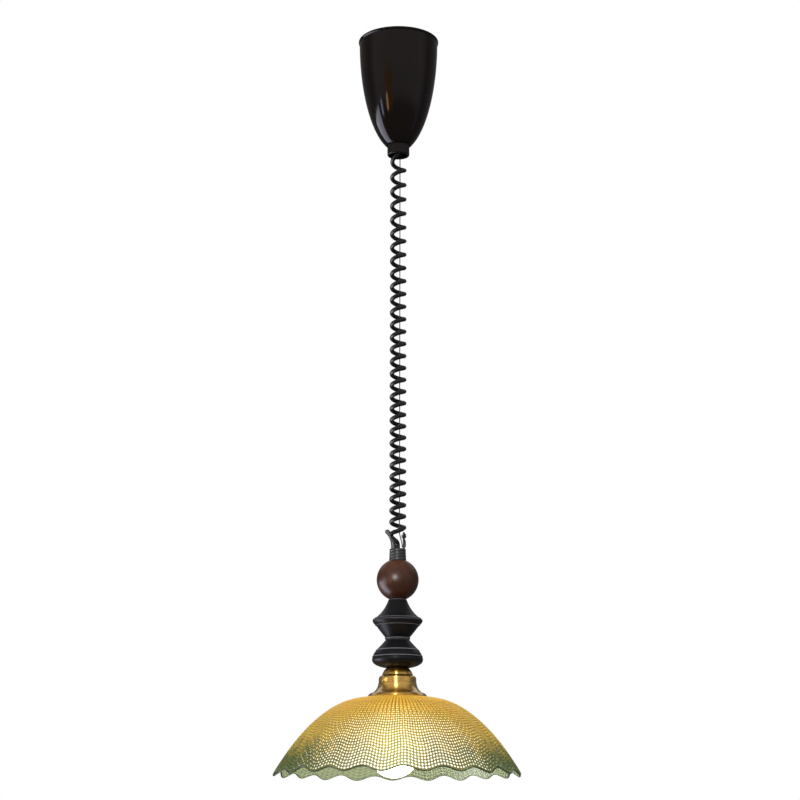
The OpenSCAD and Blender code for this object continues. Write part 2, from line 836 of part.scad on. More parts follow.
module nozzle() {
  round_at = nozzle_tip_z + nozzle_round;
  outline = concat(
    [[0, frame_floor_z - seat], [nozzle_r, frame_floor_z - seat]],
    arc([nozzle_r - nozzle_round, round_at], nozzle_round, 0, -90, 6),
    arc([nozzle_mouth_r + 0.2, nozzle_tip_z + 0.2], 0.2, 270, 180, 2),
    [[nozzle_mouth_r, nozzle_floor_z], [0, nozzle_floor_z]]
  );
  color("#1c1716")
    difference() {
      union() {
        rotate_extrude()
          polygon(outline);
        translate([0, 0, frame_floor_z - seat - eps])
          cylinder(h = spigot_l + frame_t + seat, r = spigot_r);
      }
      translate([cord_entry[0], cord_entry[1], nozzle_floor_z - cut])
        cylinder(h = frame_floor_z - nozzle_floor_z + spigot_l + 10, r = cord_d / 2 + 0.4);
      translate([wire_x, 0, nozzle_floor_z - cut])
        cylinder(h = guide_l + 1 + cut, r = wire_d / 2 + 1.4);
      translate([wire_x, 0, pivot_z])
        rotate([-wire_lean, 0, 0])
          cylinder(h = frame_floor_z - nozzle_floor_z + spigot_l + 10, r = wire_d / 2 + 0.8);
    }
}

module nozzle_nut() {
  color("#2a2626")
    translate([0, 0, frame_floor_z + frame_t])
      hexagon_nut(spigot_nut_af, spigot_nut_h, spigot_r + shaft_fit);
}

// A bush in the nozzle's floor that the wire runs through
module wire_guide() {
  guide_bore = wire_d / 2 + 0.45;
  color("ivory")
    translate([wire_x, 0, 0]) {
      difference() {
        union() {
          translate([0, 0, nozzle_floor_z])
            cylinder(h = guide_l, r = wire_d / 2 + 1.4 - shaft_fit);
          translate([0, 0, nozzle_floor_z - 1])
            cylinder(h = 1, r = wire_d / 2 + 1.9);
        }
        translate([0, 0, nozzle_floor_z - 1 - cut])
          cylinder(h = guide_l + 4, r = guide_bore);
      }
    }
}

module at_poles() {
  for (i = [-1 : 1])
    translate([block_x + block_w / 2, i * pole_pitch, frame_top_z - frame_t - block_h / 2])
      children();
}

module at_pole_screws() {
  at_poles()
    for (side = [-1, 1])
      translate([side * block_w / 4, 0, 0])
        children();
}

module terminal_block() {
  color("whitesmoke")
    difference() {
      translate([block_x, -block_l / 2, frame_top_z - frame_t - block_h])
        cube([block_w, block_l, block_h]);
      at_poles()
        rotate([0, 90, 0])
          cylinder(h = block_w + 2 * cut, r = pole_r + 0.1, center = true);
      at_pole_screws()
        translate([0, 0, -block_h])
          cylinder(h = block_h, r = pole_screw_r + 0.5);
    }
}

module terminal_tubes() {
  color("goldenrod")
    difference() {
      at_poles()
        rotate([0, 90, 0])
          cylinder(h = block_w - 2, r = pole_r, center = true);
      at_poles()
        rotate([0, 90, 0])
          cylinder(h = block_w + cut, r = pole_bore_r, center = true);
      at_pole_screws()
        translate([0, 0, -block_h])
          cylinder(h = block_h, r = pole_screw_r + shaft_fit);
    }
}

module terminal_screws() {
  slot_depth = 0.8;
  color("silver")
    difference() {
      at_pole_screws()
        translate([0, 0, -block_h / 2 + 1])
          cylinder(h = block_h / 2 - 1.6, r = pole_screw_r);
      at_pole_screws()
        translate([-pole_screw_r - cut, -0.3, -block_h / 2 + 1 - cut])
          cube([2 * pole_screw_r + 2 * cut, 0.6, slot_depth + cut]);
    }
}

module lead_in() {
  color("#202020")
    tube(lead_path, cord_d, 8);
}

// A P-clip that holds the cord to the frame's cheek
module cord_clamp() {
  strap_t = 0.8;
  hold_r = cord_d / 2 + 0.15;
  x = lead_points[6][0];
  color("gray")
    translate([x, -cheek_y, drum_z - 4])
      difference() {
        union() {
          translate([0, lead_wall_y + cheek_y, 0])
            cylinder(h = 8, r = hold_r + strap_t);
          translate([-hold_r - 4.5, 0.05, 0])
            cube([hold_r + 4.5, strap_t, 8]);
        }
        translate([0, lead_wall_y + cheek_y, -cut])
          cylinder(h = 8 + 2 * cut, r = hold_r);
        translate([-20, -9.95, -cut])
          cube([40, 10, 8 + 2 * cut]);
        translate([-hold_r - 2.6, -2, 4])
          rotate([90, 0, 0])
            cylinder(h = 8, r = 1.2, center = true);
      }
}

module suspension_wire() {
  color("dimgray")
    translate([wire_x, 0, tie_z + seat])
      cylinder(h = pivot_z - seat - tie_z - seat, d = wire_d);
}

module curly_cord() {
  color("#141414")
    tube(coil_path, cord_d, tube_sides);
}

module wire_tie() {
  color("dimgray")
    tube(tie_path, wire_d, tube_sides);
}

module cord_yoke() {
  tip = [-horn_reach, horn_h];
  tip_a = 35;
  side = horn_tip_r * [cos(tip_a), sin(tip_a)];
  horn = concat(
    bend([-horn_x, -eps], [-horn_x - 0.8, horn_h * 0.6], tip + side, 8),
    arc(tip, horn_tip_r, tip_a, tip_a + 180, 8),
    bend(tip - side, [-horn_x - horn_w + 1.1, horn_h * 0.6], [-horn_x - horn_w, -eps], 8)
  );
  color("#3a3b3f")
    difference() {
      union() {
        translate([0, 0, ferrule_z - yoke_foot_h])
          cylinder(h = yoke_foot_h, r = yoke_foot_r);
        translate([0, horn_y + horn_t / 2, ferrule_z])
          rotate([90, 0, 0])
            linear_extrude(height = horn_t)
              polygon(horn);
        translate([post_x, 0, ferrule_z])
          rotate_extrude()
            polygon(concat([[0, -eps], [post_r, -eps]], arc([0, post_h], post_r, 0, 90, 6)));
      }
      translate([0, 0, ferrule_z - yoke_foot_h - cut])
        cylinder(h = yoke_foot_h + cut - 2, r = cord_d / 2 + 0.5);
    }
}

module ferrule() {
  bottom_z = ferrule_z - ferrule_h;
  top_r = ferrule_r - 0.6;
  groove = 0.45;
  outline = concat(
    [[0, bottom_z], [ferrule_r - 0.5, bottom_z], [ferrule_r, bottom_z + 0.5]],
    [
      for (i = [1 : 3])
        let (z = bottom_z + ferrule_pitch * i, r = ferrule_r - 0.15 * i)
        each [[r, z - groove], [r - groove, z], [r, z + groove]]
    ],
    arc([top_r - 0.7, ferrule_z - 0.9], 0.7, 0, 90, 4),
    [[0, ferrule_z - 0.2]]
  );
  color("#3a3b3f")
    difference() {
      rotate_extrude()
        polygon(outline);
      translate([0, 0, ferrule_z - yoke_foot_h - seat])
        cylinder(h = yoke_foot_h + 2, r = yoke_foot_r + seat);
      translate([0, 0, bottom_z - cut])
        cylinder(h = ferrule_h, r = cord_d / 2 + 0.5);
      translate([0, 0, bottom_z - cut])
        cylinder(h = tube_top_z - bottom_z + cut + seat, r = tube_r + shaft_fit);
    }
}

// The cord's straight run through the stem to the lampholder
module holder_lead() {
  bottom_z = tube_end_z - 1;
  color("#202020")
    translate([0, 0, bottom_z])
      cylinder(h = ferrule_z - 2 - seat - bottom_z, d = cord_d);
}

module walnut_ball() {
  color("#4a2c20")
    difference() {
      translate([0, 0, ball_z])
        sphere(r = ball_r);
      translate([-ball_r, -ball_r, ferrule_z - ferrule_h - seat])
        cube([ball_d, ball_d, ball_r]);
      translate([-ball_r, -ball_r, neck_z + seat - ball_r])
        cube([ball_d, ball_d, ball_r]);
      translate([0, 0, ball_z - ball_r])
        cylinder(h = ball_d, r = tube_hole_r);
    }
}

module upper_spindle() {
  rim_z = neck_z - upper_disc_z;
  disc_r = upper_disc_r;
  neck = bend([neck_r, neck_z], [neck_r + 5.5, neck_z - 15.5], [disc_r - 3.2, rim_z + 2.9], 10);
  rim = bend([disc_r - 2.4, rim_z + 2.4], [disc_r + 2.2, rim_z + 0.4], [disc_r - 2.6, rim_z - 4.2], 8);
  cone = bend(
    [disc_r - 3.4, rim_z - 4.5],
    [waist_r + 5.2, waist_z + 8.8],
    [waist_r + 0.6, waist_z + 3.4],
    6
  );
  bead = arc([waist_r - 0.6, waist_z + 1.7], 1.4, 60, -60, 6);
  color("#1d1d1f")
    difference() {
      rotate_extrude()
        polygon(concat(
          [[0, neck_z]],
          neck,
          rim,
          cone,
          bead,
          [[waist_r - 0.2, waist_z], [0, waist_z]]
        ));
      translate([0, 0, waist_z - cut])
        cylinder(h = upper_h + 2 * cut, r = tube_hole_r);
    }
}

module lower_spindle() {
  rim_z = lower_z - lower_disc_z;
  foot_z = lower_z - lower_h;
  step_r = lower_disc_r - 5.5;
  waist = bend([waist_r, lower_z - 0.5], [waist_r + 2.2, lower_z - 3.4], [step_r, rim_z + 12], 7);
  crown = bend(
    [step_r + 0.6, rim_z + 11.2],
    [lower_disc_r - 0.9, rim_z + 6.4],
    [lower_disc_r - 0.2, rim_z + 1.2],
    8
  );
  bowl = bend([lower_disc_r, rim_z + 0.5], [lower_disc_r + 0.1, rim_z - 6.8], [lower_foot_r, foot_z], 9);
  color("#1d1d1f")
    difference() {
      rotate_extrude()
        polygon(concat(
          [[0, lower_z], [waist_r - 0.4, lower_z]],
          waist,
          crown,
          bowl,
          [[0, foot_z]]
        ));
      translate([0, 0, foot_z - cut])
        cylinder(h = lower_h + 2 * cut, r = tube_hole_r);
    }
}

module centre_tube() {
  color("silver")
    collar(tube_r, tube_bore_r, tube_top_z, tube_top_z - tube_end_z);
}

module tube_nut() {
  color("goldenrod")
    translate([0, 0, cap_z - brass_t - seat - 4])
      hexagon_nut(14, 4, tube_r + shaft_fit);
}

module gallery_cap() {
  end_z = cap_z - cap_h;
  in_r = cap_r - brass_t;
  in_z = cap_z - brass_t;
  outer = bend([cap_top_r, cap_z], [cap_r - 2.1, cap_z - 2.2], [cap_r, end_z], 10);
  inner = bend([in_r, end_z], [in_r - 1.9, in_z - 1.8], [cap_top_r - 0.6, in_z], 10);
  color("#a9822f")
    difference() {
      rotate_extrude()
        polygon(concat(outer, inner, [[0, in_z], [0, cap_z]]));
      translate([0, 0, cap_z - 5])
        cylinder(h = 6, r = tube_hole_r);
    }
}

module gallery_bell() {
  round_z = bell_z - bell_round_h;
  straight_z = bell_z - bell_straight_z;
  band_r = bell_rim_r - bell_band_w;
  band_z = bell_rim_z + bell_band_h;
  in_r = bell_r - brass_t;
  in_z = bell_z - brass_t;
  outer = concat(
    bend([cap_r - 0.4, bell_z], [bell_r - 0.2, bell_z - 0.6], [bell_r, round_z], 8),
    [[bell_r + 0.1, straight_z]],
    bend([bell_r + 0.4, straight_z - 0.6], [bell_r + 1.3, band_z + 4.4], [band_r, band_z], 8),
    bend(
      [band_r + 0.2, band_z + 0.1],
      [bell_rim_r - 2, band_z + 0.2],
      [bell_rim_r, bell_rim_z + 0.6],
      7
    ),
    [[bell_rim_r - 0.5, bell_rim_z]]
  );
  inner = concat(
    [[bell_rim_r - 1, bell_rim_z]],
    bend(
      [bell_rim_r - 1.1, bell_rim_z + 0.5],
      [bell_rim_r - 2.7, band_z - 1.1],
      [band_r - 0.4, band_z - 1],
      6
    ),
    bend([band_r - 0.8, band_z - 0.8], [bell_r + 0.4, band_z + 3.6], [in_r + 0.4, straight_z - 0.7], 8),
    [[in_r + 0.1, straight_z]],
    bend([in_r, round_z], [in_r - 0.3, in_z - 0.6], [cap_r - 1, in_z], 8),
    [[0, in_z], [0, bell_z]]
  );
  color("#a9822f")
    difference() {
      rotate_extrude()
        polygon(concat(outer, inner));
      translate([0, 0, bell_z - 5])
        cylinder(h = 6, r = tube_hole_r);
    }
}

module lampholder_cap() {
  end_z = holder_z - holder_cap_h;
  color("#2b2b2b")
    difference() {
      rotate_extrude()
        polygon(concat(
          [[0, holder_z]],
          arc([holder_r - 3, holder_z - 3], 3, 90, 0, 4),
          [[holder_r, end_z], [0, end_z]]
        ));
      translate([0, 0, end_z - cut])
        cylinder(h = holder_cap_h + 2 * cut, r = tube_r + shaft_fit);
      translate([0, 0, end_z - cut])
        cylinder(h = holder_cap_h * 0.4 + cut, r = holder_r - 5);
    }
}

module lampholder_body() {
  threads = 4;
  pitch = 2.4;
  color("#2b2b2b")
    difference() {
      union() {
        collar(holder_r - 0.5, holder_r - holder_wall - 0.5, holder_body_z - seat, holder_body_h);
        collar(holder_r, holder_r - holder_wall - 0.5, holder_body_z - seat, 5);
        for (i = [0 : threads - 1])
          translate([0, 0, ring_z - 1 - pitch * i])
            rotate_extrude()
              polygon([
                [holder_r - 0.9, -0.9],
                [holder_r - 0.15, -0.3],
                [holder_r - 0.15, 0.3],
                [holder_r - 0.9, 0.9]
              ]);
      }
      translate([0, 0, holder_body_z - contact_block_h - seat])
        cylinder(h = contact_block_h + cut, r = holder_r - holder_wall - 0.5);
    }
}

module contact_block() {
  wall = holder_r - holder_wall - 0.5 - seat;
  color("white")
    difference() {
      union() {
        collar(wall, 2, holder_body_z - seat, contact_block_h);
        collar(wall, shell_r + shell_t + seat, block_floor_z, shell_h * 0.5);
      }
      for (side = [-1, 1])
        translate([side * 8, 0, block_floor_z - cut])
          cylinder(h = contact_block_h + 2 * cut, r = 1.6);
    }
}

module contact_spring() {
  color("goldenrod")
    translate([-7, -2, block_floor_z - seat - 0.5])
      cube([11, 4, 0.5]);
}

module screw_shell() {
  color("#c9a24a")
    collar(shell_r + shell_t, shell_r, block_floor_z - seat, shell_h);
}

module shade_ring() {
  bore = holder_r + 0.1;
  notches = 8;
  color("#2b2b2b")
    difference() {
      union() {
        collar(ring_r, bore, ring_z, ring_flange_t);
        collar(bore + 2.4, bore, ring_z, ring_h);
      }
      for (i = [0 : notches - 1])
        rotate([0, 0, 360 * i / notches])
          translate([ring_r + 0.6, 0, ring_z - ring_flange_t - cut])
            cylinder(h = ring_flange_t + 2 * cut, r = 1.4);
    }
}

// Waves round the rim, from -1 to 1, with the uneven spacing of glass that was shaped by hand
function ruffle(a) =
  0.85 * cos(ruffles * a + 216 + 22 * sin(4 * a + 167)) + 0.15 * cos(round(ruffles * 2 / 3) * a + 305);

// Height of the shade's outer surface at a share u of the way from the gallery's lip to the rim
function shade_fall(u) =
  u < 0
    ? -fitter_drop * min(1, -u * (shade_r - bell_rim_r) / (bell_rim_r - fitter_seat_r))
    : shade_drop * pow(u, shade_power);

// A point of the shade's outer surface, moved out or in square to it by the ruffle
function shade_point(u, a, depth) =
  let (
    r = bell_rim_r + (shade_r - bell_rim_r) * u,
    slope = u <= 0 ? 0.2 : shade_power * shade_drop / (shade_r - bell_rim_r) * pow(u, shade_power - 1),
    tilt = atan(slope),
    share = smooth(max(0, min(1, (u - ruffle_start) / (1 - ruffle_start)))),
    push = ruffle_a * share * ruffle(a),
    out = push * 0.55 - depth,
    rr = r + out * sin(tilt),
    z = shade_z - shade_fall(u) + out * cos(tilt) - push
  )
  [rr * cos(a), rr * sin(a), z];

module glass_shade() {
  around = 126;
  down = 11;
  inner_u = (fitter_r - bell_rim_r) / (shade_r - bell_rim_r);
  seat_u = (fitter_seat_r - bell_rim_r) / (shade_r - bell_rim_r);
  shares = [
    inner_u,
    seat_u,
    for (i = [0 : down - 2])
      pow(i / (down - 2), 0.85)
  ];
  n = len(shares);
  outer = [
    for (u = shares, i = [0 : around - 1])
      shade_point(u, 360 * i / around, 0)
  ];
  inner = [
    for (u = shares, i = [0 : around - 1])
      shade_point(u, 360 * i / around, glass_t)
  ];
  base = n * around;
  last = (n - 1) * around;
  faces = [
    for (i = [0 : around - 1])
      let (j = (i + 1) % around)
      each [
        for (k = [0 : n - 2])
          let (a = k * around, b = a + around)
          each [
            [a + i, a + j, b + j],
            [a + i, b + j, b + i],
            [base + a + i, base + b + j, base + a + j],
            [base + a + i, base + b + i, base + b + j]
          ],
        [base + i, base + j, j],
        [base + i, j, i],
        [last + i, last + j, base + last + j],
        [last + i, base + last + j, base + last + i]
      ]
  ];
  color([0.75, 0.6, 0.3, 0.6])
    polyhedron(points = concat(outer, inner), faces = faces);
}

module bulb_globe() {
  neck_r0 = bulb_cap_r - 0.9;
  tangent_a = 38;
  shoulder = bulb_r * [cos(tangent_a), sin(tangent_a)];
  outline = concat(
    [[0, bulb_neck_z - seat], [neck_r0, bulb_neck_z - seat]],
    bend(
      [neck_r0, bulb_neck_z - 4],
      [neck_r0 + 1.5, bulb_z + 32],
      [shoulder[0], bulb_z + shoulder[1]],
      8
    ),
    arc([0, bulb_z], bulb_r, tangent_a - 6, -90, 20)
  );
  inner = concat(
    [[0, bulb_neck_z + cut], [neck_r0 - glass_wall, bulb_neck_z + cut]],
    bend(
      [neck_r0 - glass_wall, bulb_neck_z - 4],
      [neck_r0 + 1.5 - glass_wall, bulb_z + 32],
      [shoulder[0] - glass_wall * 0.8, bulb_z + shoulder[1] - glass_wall * 0.6],
      8
    ),
    arc([0, bulb_z], bulb_r - glass_wall, tangent_a - 6, -90, 20)
  );
  color([1, 1, 0.95, 0.8])
    difference() {
      rotate_extrude()
        polygon(outline);
      rotate_extrude()
        polygon(inner);
    }
}

module bulb_cap() {
  threads = 6;
  pitch = 3.2;
  color("silver")
    difference() {
      union() {
        collar(bulb_cap_r - 0.9, bulb_cap_r - 2, bulb_cap_z, bulb_cap_h);
        collar(bulb_cap_r - 1, 1, bulb_cap_z, 1);
        for (i = [0 : threads - 1])
          translate([0, 0, bulb_cap_z - 2.6 - pitch * i])
            rotate_extrude()
              translate([bulb_cap_r - 0.9, 0])
                circle(r = 0.9, $fn = 20);
      }
      translate([0, 0, bulb_neck_z - cut])
        cylinder(h = cut, r = bulb_cap_r + 1);
      translate([0, 0, bulb_neck_z - cut])
        cylinder(h = bulb_cap_h - 1 + cut, r = bulb_cap_r - 2);
    }
}

module bulb_insulator() {
  color("#202020")
    rotate_extrude()
      polygon([
        [0, bulb_cap_z + seat],
        [bulb_cap_r - 1.4, bulb_cap_z + seat],
        [5, bulb_cap_z + insulator_h],
        [0, bulb_cap_z + insulator_h]
      ]);
}

module bulb_contact() {
  color("silver")
    translate([0, 0, bulb_cap_z + insulator_h + seat])
      cylinder(h = contact_h - seat, r1 = 4.6, r2 = 3.6);
}

ceiling_bracket();
hanger_nipple();
hanger_nuts();
canopy_clips();
canopy_cup();
reel_frame();
reel_axle();
axle_clip();
wire_drum();
drum_cap();
mainspring();
wound_wire();
wire_drop();
nozzle();
nozzle_nut();
wire_guide();
terminal_block();
terminal_tubes();
terminal_screws();
lead_in();
cord_clamp();
suspension_wire();
curly_cord();
wire_tie();
cord_yoke();
ferrule();
holder_lead();
walnut_ball();
upper_spindle();
lower_spindle();
centre_tube();
tube_nut();
gallery_cap();
gallery_bell();
lampholder_cap();
lampholder_body();
contact_block();
contact_spring();
screw_shell();
shade_ring();
glass_shade();
bulb_globe();
bulb_cap();
bulb_insulator();
bulb_contact();
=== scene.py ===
from functools import partial
from math import acos, asin, cos, degrees, pi, radians, sin, sqrt, tan

import bpy
import numpy as np
from mathutils import Matrix, Vector
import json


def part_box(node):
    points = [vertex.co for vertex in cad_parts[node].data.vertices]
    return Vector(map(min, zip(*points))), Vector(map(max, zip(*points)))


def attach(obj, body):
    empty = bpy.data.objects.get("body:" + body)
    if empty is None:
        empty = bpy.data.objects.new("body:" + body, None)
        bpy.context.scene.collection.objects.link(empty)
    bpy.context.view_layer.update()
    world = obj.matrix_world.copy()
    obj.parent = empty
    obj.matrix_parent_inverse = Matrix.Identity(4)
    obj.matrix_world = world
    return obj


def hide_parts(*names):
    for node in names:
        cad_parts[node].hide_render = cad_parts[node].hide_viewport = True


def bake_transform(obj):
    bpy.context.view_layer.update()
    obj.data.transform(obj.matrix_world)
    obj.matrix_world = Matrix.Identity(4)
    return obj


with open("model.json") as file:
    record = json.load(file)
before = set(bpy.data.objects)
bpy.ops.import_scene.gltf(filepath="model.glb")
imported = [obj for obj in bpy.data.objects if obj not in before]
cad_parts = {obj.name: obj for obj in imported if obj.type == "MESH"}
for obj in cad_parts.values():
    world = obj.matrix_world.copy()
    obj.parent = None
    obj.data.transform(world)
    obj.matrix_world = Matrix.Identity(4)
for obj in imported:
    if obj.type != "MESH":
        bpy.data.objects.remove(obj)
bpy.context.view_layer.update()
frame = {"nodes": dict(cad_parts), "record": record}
print("frame loaded:", len(frame["nodes"]), "CAD nodes")

scene = bpy.context.scene
mm = 0.001  # every size below is in millimetres, and meshes are made in metres


def hexToLinear(code):
    channels = [int(code[i:i + 2], 16) / 255 for i in (1, 3, 5)]
    return [c / 12.92 if c <= 0.04045 else ((c + 0.055) / 1.055) ** 2.4 for c in channels] + [1]


def perMm(sizes):  # texture scale of a pattern that repeats after this many millimetres
    return 1 / (np.array(sizes) * mm)


# Adds a node with its settings and links, and returns its first output or the one named.
# Inputs are named too, or listed in the order of the sockets in use. A mix is one of colours.
def addNode(tree, kind, inputs=(), output=None, **settings):
    node = tree.nodes.new("ShaderNode" + kind)
    if kind == "Mix":
        settings["data_type"] = "RGBA"
    for name, value in settings.items():
        setattr(node, name, value)
    if isinstance(inputs, dict):
        pairs = [(node.inputs[name], value) for name, value in inputs.items()]
    else:
        pairs = zip([socket for socket in node.inputs if socket.enabled], inputs)
    for socket, value in pairs:
        if isinstance(value, bpy.types.NodeSocket):
            tree.links.new(value, socket)
        else:
            socket.default_value = hexToLinear(value) if isinstance(value, str) else value
    found = [socket for socket in node.outputs if socket.enabled and output in (None, socket.name)]
    return found[0] if found else None


eased = {"interpolation_type": "SMOOTHSTEP"}


def adderFor(owner):  # empties the nodes of a material or world, and gives what adds new ones
    owner.use_nodes = True
    owner.node_tree.nodes.clear()
    return partial(addNode, owner.node_tree)


# A material from a function that adds its nodes and returns the inputs of its Principled shader
def makeMaterial(name, build):
    material = bpy.data.materials.new(name)
    add = adderFor(material)
    add("OutputMaterial", [add("BsdfPrincipled", build(add))])
    return material


# Grain, soft clouding of the colour, and bump, which most of the finishes are built from.
# stretch makes the grain longer along an axis, as on brushed, turned or sawn stock. Grain too
# fine to show is drawn coarser than it is.
def grained(name, colours, roughness, grain, stretch=(1, 1, 1), cloud=15, depth=0.01, spread=0.08,
            **shader):
    def build(add):
        place = add("TexCoord", output="Object")
        along = add("Mapping", {"Vector": place, "Scale": perMm(grain * np.array(stretch))})
        fine = add("TexNoise", [along, 1, 5])
        soft = add("TexNoise", [place, perMm(cloud), 3])
        share = add("MapRange", [soft, 0.3, 0.7])
        tint = add("Mix", [share, *colours])
        rough = add("MapRange", [fine, 0.25, 0.75, roughness - spread, roughness + spread])
        bump = add("Bump", {"Height": fine, "Distance": depth * mm})
        return {"Base Color": tint, "Roughness": rough, "Normal": bump, **shader}
    return makeMaterial(name, build)


# The canopy and its nozzle: ABS moulded against polished steel, coloured through in a brown black.
# It mirrors lamps sharply, with a very slight waviness where the wall has shrunk.
def mouldedAbs(name, colours, roughness, wave):
    return grained(name, colours, roughness, 22, cloud=30, depth=wave, spread=0.03,
                   **{"Specular IOR Level": 0.16})


# The curly cord's sheath: soft PVC drawn through a die. Its sheen runs in long faint lines along
# the cord, which need the distance along and around it that the mesh keeps.
def extrudedPvc(add):
    kept = [add("Attribute", output="Fac", attribute_name=name) for name in ("around", "along")]
    spot = add("CombineXYZ", kept)
    dieLines = add("Mapping", {"Vector": spot, "Scale": perMm([0.5, 60, 1000])})
    lines = add("TexNoise", [dieLines, 1, 4])
    handled = add("Mapping", {"Vector": spot, "Scale": perMm([9, 14, 1000])})
    dust = add("TexNoise", [handled, 1, 3])
    tint = add("Mix", [dust, "#0a0909", "#151211"])
    rough = add("MapRange", [dust, 0.3, 0.7, 0.3, 0.46])
    bump = add("Bump", {"Height": lines, "Distance": 0.02 * mm})
    return {"Base Color": tint, "Roughness": rough, "Normal": bump, "Specular IOR Level": 0.4}


# The walnut ball: turned with its grain upright, stained dark red-brown and lacquered, so the
# figure is quiet and a clear coat carries the shine. The pores are drawn coarser than they are.
def turnedWalnut(add):
    place = add("TexCoord", output="Object")
    fibre = add("Mapping", {"Vector": place, "Scale": perMm([1.1, 1.1, 26])})
    pores = add("TexNoise", [fibre, 1, 6, 0.62])
    swirl = add("TexNoise", [place, perMm(24), 2])
    rings = add("TexWave", [place, perMm(9) / 20, 7, 3, 1.4], output="Fac", wave_type="RINGS",
                rings_direction="Y")
    figure = add("Math", [rings, swirl], operation="MULTIPLY")
    ground = add("Mix", [figure, "#351b0d", "#54311d"])
    dark = add("MapRange", [pores, 0.46, 0.64, 0, 0.85])
    tint = add("Mix", [dark, ground, "#22110a"])
    bump = add("Bump", {"Height": pores, "Distance": 0.02 * mm})
    return {"Base Color": tint, "Roughness": 0.4, "Normal": bump, "Specular IOR Level": 0.1,
            "Coat Weight": 0.34, "Coat Roughness": 0.3}


# The spindles: turned hardwood, ebonised and waxed to a satin black. The lathe's rings show as a
# fine ripple across the highlights, and the high edges are painted greyer, partly as rubbed wear
# and partly as a painted highlight along each crease.
def ebonisedHardwood(add):
    place = add("TexCoord", output="Object")
    toolMarks = add("Mapping", {"Vector": place, "Scale": perMm([30, 30, 0.7])})
    ripple = add("TexNoise", [toolMarks, 1, 3])
    fibre = add("Mapping", {"Vector": place, "Scale": perMm([0.9, 0.9, 18])})
    grain = add("TexNoise", [fibre, 1, 5])
    # the high edges: rubbed wear and a painted highlight in one grey tint
    wornAndHighlitEdges = add("MapRange", [add("Attribute", output="Fac", attribute_name="edge"), 0.3, 0.9])
    ground = add("Mix", [grain, "#0b0b0d", "#19191c"])
    tint = add("Mix", [wornAndHighlitEdges, ground, "#6e6e74"])
    height = add("Math", [ripple, grain], operation="ADD")
    bump = add("Bump", {"Height": height, "Distance": 0.02 * mm})
    rough = add("MapRange", [grain, 0.3, 0.7, 0.3, 0.42])
    return {"Base Color": tint, "Roughness": rough, "Normal": bump, "Specular IOR Level": 0.11}


# The gallery: brass spun over a former, antiqued and lacquered. Spinning leaves fine rings, so
# highlights stretch up and down, and the brown patina stays in the hollows.
def spunAntiqueBrass(add):
    place = add("TexCoord", output="Object")
    spun = add("Mapping", {"Vector": place, "Scale": perMm([45, 45, 0.45])})
    lines = add("TexNoise", [spun, 1, 4])
    bloom = add("TexNoise", [place, perMm(7), 4])
    kept = add("MapRange", [add("Attribute", output="Fac", attribute_name="edge"), -0.1, -0.6])
    clouds = add("MapRange", [bloom, 0.35, 0.75, 0, 0.55])
    patina = add("Math", [kept, clouds], operation="MAXIMUM")
    tint = add("Mix", [patina, "#d2a446", "#7c5824"])
    rough = add("MapRange", [lines, 0.3, 0.7, 0.24, 0.32])
    bump = add("Bump", {"Height": lines, "Distance": 0.008 * mm})
    around = add("Tangent", direction_type="RADIAL", axis="Z")
    return {"Base Color": tint, "Metallic": 1, "Roughness": rough, "Normal": bump, "Anisotropic": 0.75,
            "Anisotropic Rotation": 0.25, "Tangent": around, "Coat Weight": 1, "Coat Roughness": 0.14}


